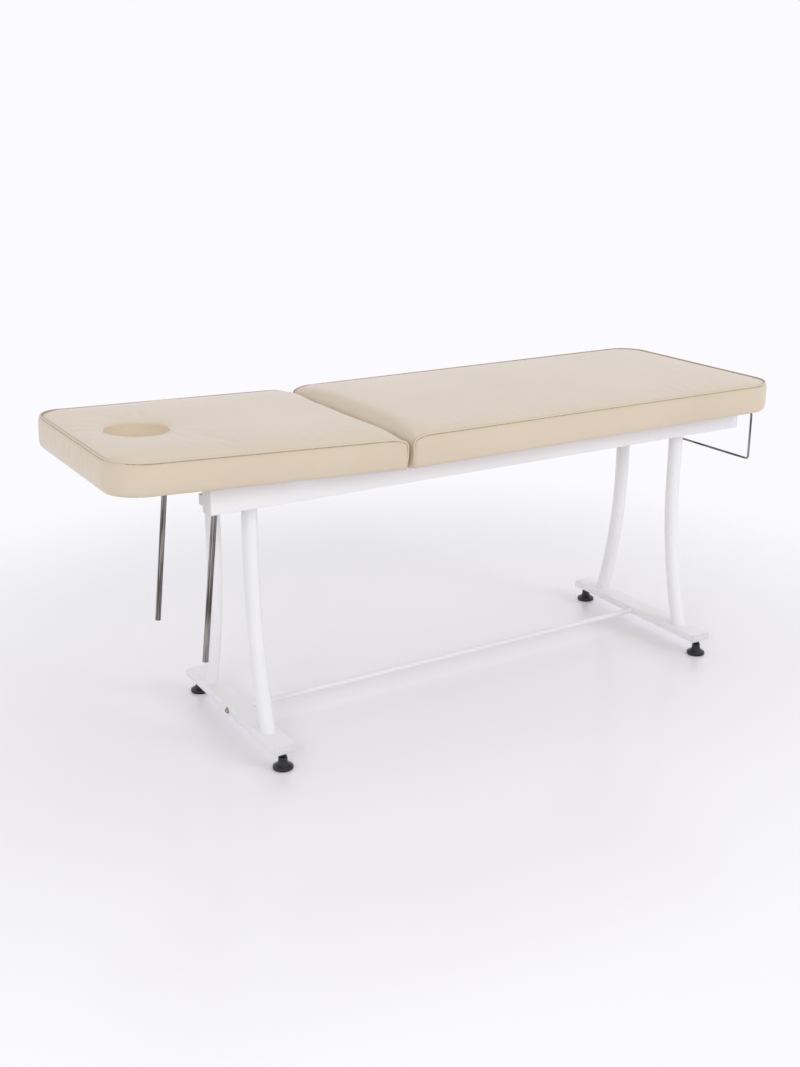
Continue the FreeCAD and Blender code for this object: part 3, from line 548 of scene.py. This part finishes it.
COVER_DROP = 0.004
BOTTOM_HEIGHT = pad_bottom - COVER_DROP
BOTTOM_ROUND = 0.013
BOTTOM_SEGMENTS = 3
HEM_WIDTH = 0.034
HEM_DEPTH = 0.010
UPRIGHT_LEAST = 0.01
TOUCH = 1e-4

Section = namedtuple("Section", "name length end_half_width taper shoulder place body")
main_place = Matrix.Translation((hinge.x, 0, 0))
MAIN = Section("main", main_length, pad_half_width, 0.0, MAIN_SHOULDER, main_place, "frame")
head_taper = (HEAD_END_HALF_WIDTH - pad_half_width) / (HEAD_LENGTH - HALF_GAP)
head_turn = Matrix.Translation(hinge) @ Matrix.Rotation(rest_tilt, 4, "Y") @ Matrix.Translation(-hinge)
head_place = head_turn @ main_place @ Matrix.Rotation(math.pi, 4, "Z")
HEAD = Section("head", HEAD_LENGTH, HEAD_END_HALF_WIDTH, head_taper, 0.0, head_place, "head_section")


def link(name, data):
    """A new object of some data, alone selected."""
    piece = bpy.data.objects.new(name, data)
    bpy.context.collection.objects.link(piece)
    pick(piece)
    return piece


def fall_points(steps, shoulder):
    """Run and height of the roll at the hinge end, two tangent arcs from its foot up to the seam.

    The shoulder is how much higher the seam lies there than at the free end.
    """
    scale = 1 - math.cos(FALL_TURN) - math.sin(FALL_TURN)
    small = (FALL_RUN * (1 - math.sin(FALL_TURN)) - FALL_DROP * math.cos(FALL_TURN)) / scale
    large = ((1 - math.cos(FALL_TURN)) * FALL_DROP - math.sin(FALL_TURN) * FALL_RUN) / scale
    points = []
    for step in range(steps + 1):
        angle = step / steps * math.pi / 2
        if angle <= FALL_TURN:
            run = small * (1 - math.cos(angle))
            rise = small * math.sin(angle)
        else:
            rest = math.pi / 2 - angle
            run = FALL_RUN - large * math.sin(rest)
            rise = FALL_DROP - large * (1 - math.cos(rest))
        points.append((HALF_GAP + run, seam_height + shoulder - FALL_DROP + rise))
    return points


def choose_faces(piece, wanted):
    """Select the faces in edit mode whose middle passes a test."""
    bpy.ops.mesh.select_all(action="DESELECT")
    bpy.ops.mesh.select_mode(type="FACE")
    mesh = bmesh.from_edit_mesh(piece.data)
    for face in mesh.faces:
        face.select_set(wanted(face.calc_center_median()))
    bmesh.update_edit_mesh(piece.data)


def pad_block(section):
    """The plain form of a section: its side profile drawn out to the full width, with round end corners."""
    length = section.length + END_EASE
    half_width = pad_half_width + SIDE_EASE
    profile = [(HALF_GAP, BOTTOM_HEIGHT)] + fall_points(FALL_STEPS, section.shoulder)
    profile += [(length, seam_height), (length, BOTTOM_HEIGHT)]
    mesh = bpy.data.meshes.new(section.name + "_pad")
    mesh.from_pydata([(run, -half_width, height) for run, height in profile], [], [range(len(profile))])
    piece = link(mesh.name, mesh)
    bpy.ops.object.mode_set(mode="EDIT")
    bpy.ops.mesh.select_all(action="SELECT")
    bpy.ops.mesh.extrude_region_move(TRANSFORM_OT_translate={"value": (0, 2 * half_width, 0)})
    choose_edges(piece, lambda a, b: min(a.x, b.x) > length - TOUCH and abs(a.z - b.z) > UPRIGHT_LEAST)
    bpy.ops.mesh.bevel(offset=CORNER_RADIUS, segments=CORNER_SEGMENTS, affect="EDGES")
    choose_edges(piece, lambda a, b: (max(a.z, b.z) < BOTTOM_HEIGHT + TOUCH
                                      and max(a.x, b.x) > HALF_GAP + TOUCH))
    bpy.ops.mesh.bevel(offset=BOTTOM_ROUND, segments=BOTTOM_SEGMENTS, affect="EDGES")
    choose_faces(piece, lambda centre: abs(centre.z - BOTTOM_HEIGHT) < TOUCH)
    bpy.ops.mesh.inset(thickness=HEM_WIDTH)
    bpy.ops.transform.translate(value=(0, 0, HEM_DEPTH))
    close_edit()
    return piece


SEAM_STEPS = 24
SEAM_HOLD = 0.007
SEAM_SHADE = 0.006
HOLE_RADIUS = 0.0765
HOLE_REACH = 0.542
HOLE_SIDES = 96
HOLE_ROUND = 0.004
HOLE_SEGMENTS = 3
HOLE_HOLD = 0.006
HOLE_LIFT = 0.005
LIFT_REACH = 0.05
VOXEL = 0.006
VOXEL_SMOOTHING = 4
PRESSURE = 4.0
FULLNESS = 0.008
CLOTH_QUALITY = 4
CLOTH_FRAMES = 20
SWELL_LIMIT = 0.0115
SWELL_SMOOTHING = 3
LEAST_MOVE = 1e-9


def apply_modifier(piece, kind, **settings):
    """Add one modifier with its settings and apply it."""
    bpy.context.view_layer.objects.active = piece
    bpy.ops.object.modifier_add(type=kind)
    modifier = piece.modifiers[-1]
    for name, value in settings.items():
        setattr(modifier, name, value)
    bpy.ops.object.modifier_apply(modifier=modifier.name)


def points_of(piece):
    """A mesh's points as an array."""
    flat = np.zeros(len(piece.data.vertices) * 3)
    piece.data.vertices.foreach_get("co", flat)
    return flat.reshape(-1, 3)


def move_points(piece, points):
    """Bring a mesh's points to the rows of an array."""
    piece.data.vertices.foreach_set("co", points.ravel())
    piece.data.update()


def seam_distance(points, section):
    """How far each point lies from the sewn edge between the top and the side band."""
    half = pad_half_width + section.taper * (points[:, 0] - HALF_GAP)
    along = points[:, 0] - (section.length - CORNER_RADIUS)
    across = np.abs(points[:, 1]) - (half - CORNER_RADIUS)
    corner = np.hypot(np.maximum(along, 0), np.maximum(across, 0)) - CORNER_RADIUS
    beside = np.where((along > 0) & (across > 0), corner, np.maximum(along, across) - CORNER_RADIUS)
    line = [(HALF_GAP, pad_bottom)] + fall_points(SEAM_STEPS, section.shoulder)
    line = np.array(line + [(section.length, seam_height), (section.length + CORNER_RADIUS, seam_height)])
    nearest = np.full(len(points), np.inf)
    for start, finish in zip(line, line[1:]):
        step = finish - start
        share = np.clip(((points[:, (0, 2)] - start) @ step) / (step @ step), 0, 1)
        gap = points[:, (0, 2)] - start - share[:, None] * step
        nearest = np.minimum(nearest, np.hypot(gap[:, 0], gap[:, 1]))
    return np.hypot(beside, nearest)


def swell(piece, before, fixed):
    """Fill a cover with air while its fixed points are held, and ease each move towards its limit."""
    held = piece.vertex_groups.new(name="held")
    held.add(np.where(fixed)[0].tolist(), 1.0, "REPLACE")
    bpy.context.view_layer.objects.active = piece
    bpy.ops.object.modifier_add(type="CLOTH")
    cloth = piece.modifiers[-1]
    cloth.settings.quality = CLOTH_QUALITY
    cloth.settings.use_pressure = True
    cloth.settings.uniform_pressure_force = PRESSURE
    cloth.settings.shrink_min = -FULLNESS
    cloth.settings.vertex_group_mass = held.name
    cloth.settings.effector_weights.gravity = 0
    cloth.collision_settings.use_collision = False
    for step in range(CLOTH_FRAMES):
        bpy.context.scene.frame_set(step + 1)
    bpy.ops.object.modifier_apply(modifier=cloth.name)
    bpy.context.scene.frame_set(1)
    move = points_of(piece) - before
    size = np.linalg.norm(move, axis=1, keepdims=True)
    eased = SWELL_LIMIT * (1 - np.exp(-size / SWELL_LIMIT))
    move_points(piece, before + move * np.where(size > LEAST_MOVE, eased / np.maximum(size, LEAST_MOVE), 0))
    apply_modifier(piece, "SMOOTH", factor=0.5, iterations=SWELL_SMOOTHING)
    piece.vertex_groups.clear()


def fill_cushion(piece, section, hole_lift=0.0):
    """Narrow the cover to its free end and swell it with its seam and underside held.

    A section with a face hole is raised inside its seam first, and the rim of the hole is held as well.
    """
    apply_modifier(piece, "REMESH", mode="VOXEL", voxel_size=VOXEL, use_smooth_shade=True)
    apply_modifier(piece, "SMOOTH", factor=0.5, iterations=VOXEL_SMOOTHING)
    points = points_of(piece)
    points[:, 1] *= 1 + section.taper * (points[:, 0] - HALF_GAP) / pad_half_width
    seam = seam_distance(points, section)
    fixed = (seam < SEAM_HOLD) | (points[:, 2] < BOTTOM_HEIGHT + BOTTOM_ROUND)
    if hole_lift:
        share = np.clip((points[:, 2] - BOTTOM_HEIGHT) / (seam_height - BOTTOM_HEIGHT), 0, 1)
        points[:, 2] += hole_lift * share * (1 - np.exp(-(seam / LIFT_REACH) ** 2))
        fixed |= np.hypot(points[:, 0] - HOLE_REACH, points[:, 1]) < HOLE_RADIUS + HOLE_HOLD
    move_points(piece, points)
    swell(piece, points, fixed)
    # The seam attribute is painted shade: it darkens the cover's colour close to the seam.
    shade = piece.data.attributes.new("seam", "FLOAT", "POINT")
    shade.data.foreach_set("value", np.exp(-(seam / SEAM_SHADE) ** 2).astype(np.float32))


SOFT_ANGLE = 80
main_pad = pad_block(MAIN)
fill_cushion(main_pad, MAIN)
main_pad.data.transform(MAIN.place)
fit(main_pad, LEATHERETTE, "leatherette", "frame", "main_cushion", smooth_angle=SOFT_ANGLE)

hole_stretch = 1 / (1 + HEAD.taper * (HOLE_REACH - HALF_GAP) / pad_half_width)


def on_hole_rim(a, b):
    """True for an edge of the hole's upper rim, before the cover is narrowed."""
    lying = min(a.z, b.z) > seam_height - TOUCH
    reach = [math.hypot(p.x - HOLE_REACH, p.y / hole_stretch) for p in (a, b)]
    return lying and max(abs(r - HOLE_RADIUS) for r in reach) < TOUCH


head_pad = pad_block(HEAD)
plug = begin("plug", bpy.ops.mesh.primitive_cylinder_add, vertices=HOLE_SIDES, radius=HOLE_RADIUS, depth=1,
             location=(HOLE_REACH, 0, seam_height), scale=(1, hole_stretch, 1))
apply_modifier(head_pad, "BOOLEAN", object=plug, operation="DIFFERENCE")
bpy.data.objects.remove(plug)
pick(head_pad)
bpy.ops.object.mode_set(mode="EDIT")
choose_edges(head_pad, on_hole_rim)
bpy.ops.mesh.bevel(offset=HOLE_ROUND, segments=HOLE_SEGMENTS, affect="EDGES")
bpy.ops.object.mode_set(mode="OBJECT")
fill_cushion(head_pad, HEAD, HOLE_LIFT)
head_pad.data.transform(HEAD.place)
fit(head_pad, LEATHERETTE, "leatherette", "head_section", "head_cushion", smooth_angle=SOFT_ANGLE)

LINER_RADIUS = 0.0738
LINER_WALL = 0.0012
LINER_ANGLE = 60
LIP_ROUND = 0.006
LIP_SINK = 0.0009
LIP_TURNS = range(0, 140, 15)
HOLE_LIGHT_FADE = 0.012
lip_x = LINER_RADIUS + LIP_ROUND
lip_z = seam_height + HOLE_LIFT - LIP_SINK - LIP_ROUND
outline = [(LINER_RADIUS, pad_bottom)]
for turn in LIP_TURNS:
    angle = math.radians(turn)
    outline.append((lip_x - LIP_ROUND * math.cos(angle), lip_z + LIP_ROUND * math.sin(angle)))
outline += [(lip_x, lip_z - LIP_ROUND), (LINER_RADIUS + LINER_WALL, lip_z - 2 * LIP_ROUND),
            (LINER_RADIUS + LINER_WALL, pad_bottom)]
edges = [(n - 1, n) for n in range(1, len(outline))] + [(len(outline) - 1, 0)]
liner_mesh = bpy.data.meshes.new("hole_liner")
liner_mesh.from_pydata([(x, 0, z) for x, z in outline], edges, [])
liner = link("hole_liner", liner_mesh)
apply_modifier(liner, "SCREW", axis="Z", steps=HOLE_SIDES, render_steps=HOLE_SIDES, use_merge_vertices=True)
bpy.ops.object.mode_set(mode="EDIT")
close_edit()
# Painted light inside the face hole: the liner's colour grows paler over this depth below the lip.
depth = np.clip((lip_z - points_of(liner)[:, 2]) / HOLE_LIGHT_FADE, 0, 1)
painted_hole_light = liner.data.attributes.new("painted_hole_light", "FLOAT", "POINT")
painted_hole_light.data.foreach_set("value", depth.astype(np.float32))
liner.data.transform(HEAD.place @ Matrix.Translation((HOLE_REACH, 0, 0)))
fit(liner, LEATHERETTE, "leatherette", "head_section", "face_hole_liner", smooth_angle=LINER_ANGLE)


# Turned hems: the cover is folded under each board as a flat band and held there by a row of steel staples
# along its sides and its free end.
HEM_TUCK = 0.007
HEM_THICKNESS = 0.0012
HEM_LAP = 0.0004
HEM_STEPS = 12
STAPLE_LENGTH = 0.011
STAPLE_WIDTH = 0.0012
STAPLE_HEIGHT = 0.0012
STAPLE_ROUND = STAPLE_HEIGHT / 3
STAPLE_SEGMENTS = 2
STAPLE_INSET = 0.021
STAPLE_STEP = 0.042
hem_height = pad_bottom - HEM_LAP
staple_height = hem_height - HEM_THICKNESS


def turned_hem(section):
    """The flat band of cover under a board, from the rounded lower edge inwards."""
    corner = CORNER_RADIUS - HEM_TUCK
    middle_x = section.length - CORNER_RADIUS
    middle_y = section.end_half_width - section.taper * CORNER_RADIUS - CORNER_RADIUS
    half = [(HALF_GAP + HEM_TUCK, pad_half_width + section.taper * HEM_TUCK - HEM_TUCK)]
    for step in range(HEM_STEPS + 1):
        angle = step / HEM_STEPS * math.pi / 2
        half.append((middle_x + corner * math.sin(angle), middle_y + corner * math.cos(angle)))
    outline = half + [(x, -y) for x, y in reversed(half)]
    mesh = bpy.data.meshes.new(section.name + "_hem")
    mesh.from_pydata([(x, y, hem_height) for x, y in outline], [], [range(len(outline))])
    piece = link(mesh.name, mesh)
    bpy.ops.object.mode_set(mode="EDIT")
    bpy.ops.mesh.select_all(action="SELECT")
    bpy.ops.mesh.inset(thickness=HEM_WIDTH - HEM_TUCK)
    bpy.ops.mesh.delete(type="ONLY_FACE")
    bpy.ops.mesh.select_all(action="SELECT")
    bpy.ops.mesh.extrude_region_move(TRANSFORM_OT_translate={"value": (0, 0, -HEM_THICKNESS)})
    close_edit()
    return piece


def staple_row(section, start, finish):
    """Evenly spaced staples under a section's hem between two points, each along the row."""
    start = Vector((*start, staple_height))
    finish = Vector((*finish, staple_height))
    count = round((finish - start).length / STAPLE_STEP)
    along = Vector((1, 0, 0)).rotation_difference(finish - start).to_matrix().to_4x4()
    row = []
    for step in range(count + 1):
        spot = Matrix.Translation(start.lerp(finish, step / count))
        row.append(copy_to(staple, section.name + "_staples", section.place @ spot @ along))
    return row


staple_half = Vector((STAPLE_LENGTH, STAPLE_WIDTH, STAPLE_HEIGHT)) / 2
staple = soft_block("staple", -staple_half, staple_half, STAPLE_ROUND, STAPLE_SEGMENTS)
for section in (MAIN, HEAD):
    hem = turned_hem(section)
    hem.data.transform(section.place)
    fit(hem, LEATHERETTE, "leatherette", section.body)
    row = []
    for sign in (-1, 1):
        row += staple_row(section, (FALL_RUN, sign * (pad_half_width - STAPLE_INSET)),
                          (section.length - CORNER_RADIUS, sign * (section.end_half_width - STAPLE_INSET)))
    reach = section.end_half_width - CORNER_RADIUS
    free_end = section.length - STAPLE_INSET
    row += staple_row(section, (free_end, -reach), (free_end, reach))
    fit(join(*row), ZINC_PLATE, "zinc_steel", section.body)
bpy.data.objects.remove(staple)


# Piping: a cord covered with the same leatherette, sewn into the edge between the top and the side band. It
# runs down both corners of the hinge end to the underside. A thin dark cord sunk into the cover along it is
# painted shade in the sewn crease.
def piping_cover():
    """The cover's own cream leatherette, drawn tight over the cord."""
    material, place = open_finish("piping_cover")
    pebble = place.node("TexVoronoi", {"feature": "SMOOTH_F1"}, Vector=place, Scale=900.0)
    cloud = noise(place, 60, detail=3)
    colour = cloud.mix((0.70, 0.60, 0.455), (0.655, 0.555, 0.415))
    return close_finish(material, place, pebble, 0.00012, Base_Color=colour, Roughness=0.38 + cloud * 0.14)


def seam_shadow_cord():
    """Painted shade of the crease where the cord is sewn in, with the tight folds of its stitches across it.
    """
    material, place = open_finish("seam_shadow_cord")
    folds = noise(place, 260, detail=2)
    colour = folds.band(0.3, 0.7).mix((0.34, 0.265, 0.175), (0.45, 0.36, 0.25))
    return close_finish(material, place, folds, 0.0004, Base_Color=colour, Roughness=0.6 + folds * 0.2)


PIPING_COVER = piping_cover()
SEAM_SHADOW_CORD = seam_shadow_cord()
CORD_RADIUS = 0.0024
CORD_PROUD = 0.0012
CORD_STEP = 0.012
CORD_RESOLUTION = 4
SHADOW_CORD_RADIUS = 0.004
SHADOW_CORD_PROUD = -0.0018
LINE_STEPS = 20
PROBE = 0.03
EASE_ROUNDS = 8


def piping_line(section):
    """The seam's points and their ways out of the cover: up one hinge corner, round, and down the other."""
    half = [(Vector((HALF_GAP, -pad_half_width, pad_bottom)), Vector((-1, -1, 0)))]
    for step, (run, height) in enumerate(fall_points(LINE_STEPS, section.shoulder)):
        angle = step / LINE_STEPS * math.pi / 2
        side = pad_half_width + section.taper * (run - HALF_GAP)
        half.append((Vector((run, -side, height)), Vector((-math.cos(angle), -1, math.sin(angle)))))
    slope = math.atan(section.taper)
    middle_x = section.length - CORNER_RADIUS
    middle_y = pad_half_width + section.taper * (middle_x - HALF_GAP) - CORNER_RADIUS / math.cos(slope)
    middle = Vector((middle_x, -middle_y, seam_height))
    for step in range(LINE_STEPS + 1):
        angle = -slope + (math.pi / 2 + slope) * step / LINE_STEPS
        way = Vector((math.sin(angle), -math.cos(angle), 0))
        half.append((middle + way * CORNER_RADIUS, way + Vector((0, 0, 1))))
    mirror = Matrix.Diagonal((1, -1, 1))
    return half + [(mirror @ point, mirror @ way) for point, way in reversed(half)]


def laid_on(cover, line, place, proud):
    """The seam's points closely spaced, brought in onto the finished cover and eased."""
    close = []
    for (start, way), (finish, next_way) in zip(line, line[1:]):
        steps = max(1, math.ceil((finish - start).length / CORD_STEP))
        for step in range(steps):
            close.append((start.lerp(finish, step / steps), way.lerp(next_way, step / steps)))
    close.append(line[-1])
    bpy.context.view_layer.update()
    close = [(place @ point, (place.to_3x3() @ way).normalized()) for point, way in close]
    depths = []
    for point, way in close:
        found, spot = cover.ray_cast(point + way * PROBE, -way)[:2]
        depths.append((spot - point).dot(way) if found else 0.0)
    for _ in range(EASE_ROUNDS):
        eased = [(a + b * 2 + c) / 4 for a, b, c in zip(depths, depths[1:], depths[2:])]
        depths = [depths[0]] + eased + [depths[-1]]
    return [point + way * (depth + proud) for (point, way), depth in zip(close, depths)]


def cord(name, points, radius):
    """A round cord along points."""
    curve = bpy.data.curves.new(name, "CURVE")
    curve.dimensions = "3D"
    curve.bevel_depth = radius
    curve.bevel_resolution = CORD_RESOLUTION
    curve.use_fill_caps = True
    spline = curve.splines.new("POLY")
    spline.points.add(len(points) - 1)
    for point, place in zip(spline.points, points):
        point.co = (*place, 1)
    link(name, curve)
    bpy.ops.object.convert(target="MESH")
    return bpy.context.object


for section, cover in ((MAIN, main_pad), (HEAD, head_pad)):
    line = piping_line(section)
    piping = cord(section.name + "_cord", laid_on(cover, line, section.place, CORD_PROUD), CORD_RADIUS)
    fit(piping, PIPING_COVER, "piping", section.body, section.name + "_piping", smooth_angle=SOFT_ANGLE)
    # A dark cord sunk into the cover along the piping: painted shade in the crease.
    fold = cord(section.name + "_fold", laid_on(cover, line, section.place, SHADOW_CORD_PROUD), SHADOW_CORD_RADIUS)
    fit(fold, SEAM_SHADOW_CORD, "piping", section.body, smooth_angle=SOFT_ANGLE)


# Support rods: polished steel rods that hang from clevis brackets under the head board and slide through
# white guides on the rails. A black lobed knob in each guide clamps its rod.
DRAWN = 60
rod_points = points_of(nodes["support_rod_near"])
rod_axis = np.linalg.svd(rod_points - rod_points.mean(axis=0), full_matrices=False)[2][0]
ROD_STEEL = polished_steel("rod_steel", (1, 1, DRAWN), math.atan(rod_axis[0] / rod_axis[2]))
dress(ROD_STEEL, "support_rod_near", "support_rod_far")
dress(ZINC_PLATE, "rod_bracket_near", "rod_bracket_far", "bracket_screws", "rod_pins", "lock_screw_near",
      "lock_screw_far")
dress(MOULDED_WHITE, "rod_guide_near", "rod_guide_far")

KNOB_LOBES = 5
LOBE_SEGMENTS = 20
LOBE_DEPTH_SHARE = 0.2
KNOB_PROFILE_SHARES = ((0.78, 0), (0.92, 0.06), (0.99, 0.18), (1, 0.4), (1, 0.7), (0.97, 0.85), (0.88, 0.96),
                       (0.76, 1), (0.42, 1), (0.38, 0.95), (0.12, 0.95))
for side in SIDES:
    low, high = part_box("lock_knob_" + side)
    knob_radius = (high.z - low.z) / 2
    knob_height = high.y - low.y
    knob_profile = [(r * knob_radius, z * knob_height) for r, z in KNOB_PROFILE_SHARES]
    knob = turned("star_knob_" + side, knob_profile, KNOB_LOBES * LOBE_SEGMENTS)
    for vertex in knob.data.vertices:
        turn = math.atan2(vertex.co.y, vertex.co.x)
        reach = min(1, vertex.co.xy.length / knob_radius)
        vertex.co.xy *= 1 - LOBE_DEPTH_SHARE * reach * (1 - math.cos(KNOB_LOBES * turn)) / 2
    base_y, inward = (low.y, 1) if side == "near" else (high.y, -1)
    spot = Matrix.Translation(((low.x + high.x) / 2, base_y, (low.z + high.z) / 2))
    knob.data.transform(spot @ Matrix.Rotation(-inward * math.pi / 2, 4, "X"))
    fit(knob, MOULDED_BLACK, "black_plastic", "knob_" + side, "lock_knob_" + side)


# Paper roll holder: a bright wire stirrup that hangs below the foot end. It swings in two white clips that
# are screwed up into the main board.
WIRE_STEEL = polished_steel("wire_steel", (1, DRAWN, DRAWN))
dress(WIRE_STEEL, "roll_holder")
dress(MOULDED_WHITE, "roll_clips")
dress(ZINC_PLATE, "clip_screws")


# Studio: a pale floor that fades into a white surround, soft light from above and both sides, and a camera
# at the photograph's place. Glossy surfaces don't mirror the side lamps, which would glare on them.
FADE_START = 1.0
FADE_END = 2.2
FLOOR_MARGIN = 0.2
FLOOR_SIDES = 96


def studio_floor():
    """Pale satin floor that fades out to the white surround away from the object."""
    material, place = open_finish("studio_floor")
    reach = place.node("VectorMath", {"operation": "LENGTH"}, out="Value", i0=place)
    cloud = noise(place, 1.2)
    colour = cloud.mix((0.965, 0.96, 0.985), (0.945, 0.94, 0.97))
    shader = place.node("BsdfPrincipled", Base_Color=colour, Roughness=0.2)
    clear = place.node("BsdfTransparent")
    faded = place.node("MixShader", i0=reach.band(FADE_START, FADE_END), i1=shader, i2=clear)
    place.node("OutputMaterial", Surface=faded)
    return material


floor = begin("floor", bpy.ops.mesh.primitive_circle_add, vertices=FLOOR_SIDES,
              radius=FADE_END + FLOOR_MARGIN, fill_type="NGON")
floor.data.materials.append(studio_floor())

world = bpy.data.worlds.new("studio")
bpy.context.scene.world = world
world.use_nodes = True
world.node_tree.nodes.clear()
surround = Socket(world.node_tree)
seen = surround.node("LightPath", out="Is Camera Ray")
for kind in ("Is Glossy Ray", "Is Transmission Ray"):
    seen = surround.math("MAXIMUM", seen, surround.node("LightPath", out=kind))
light = surround.node("Background", Color=(0.97, 0.965, 1.0, 1), Strength=0.76)
white = surround.node("Background", Color=(0.97, 0.962, 1.0, 1), Strength=1.0)
surround.node("OutputWorld", Surface=surround.node("MixShader", i0=seen, i1=light, i2=white))

LAMP_AIM = (0.0, 0.0, 0.6)
OVERHEAD_SIZE = 2.4
SIDE_SIZE = 1.2


def soft_lamp(name, place, size, power):
    """A square soft box that points at the object."""
    lamp = bpy.data.lights.new(name, "AREA")
    lamp.shape = "SQUARE"
    lamp.size = size
    lamp.energy = power
    holder = link(name, lamp)
    holder.location = place
    holder.rotation_euler = (Vector(LAMP_AIM) - Vector(place)).to_track_quat("-Z", "Y").to_euler()
    return holder


soft_lamp("overhead", (0.6, 0.9, 3.2), size=OVERHEAD_SIZE, power=5)
for name, place, power in (("left", (-2.7, -2.6, 2.0), 26), ("right", (2.0, -3.3, 2.0), 30)):
    soft_lamp(name, place, SIDE_SIZE, power).visible_glossy = False

CAMERA_PLACE = (-1.76825, -2.805, 1.5285)
CAMERA_YAW = math.radians(31.08)
CAMERA_PITCH = math.radians(18.46)
CAMERA_FOCUS = 44.68
SENSOR_WIDTH = 36
camera_data = bpy.data.cameras.new("camera")
camera_data.sensor_width = SENSOR_WIDTH
camera_data.lens = CAMERA_FOCUS
camera = link("camera", camera_data)
camera.location = CAMERA_PLACE
camera.rotation_euler = (math.pi / 2 - CAMERA_PITCH, 0, -CAMERA_YAW)
bpy.context.scene.camera = camera
bpy.context.scene.view_settings.view_transform = "Standard"
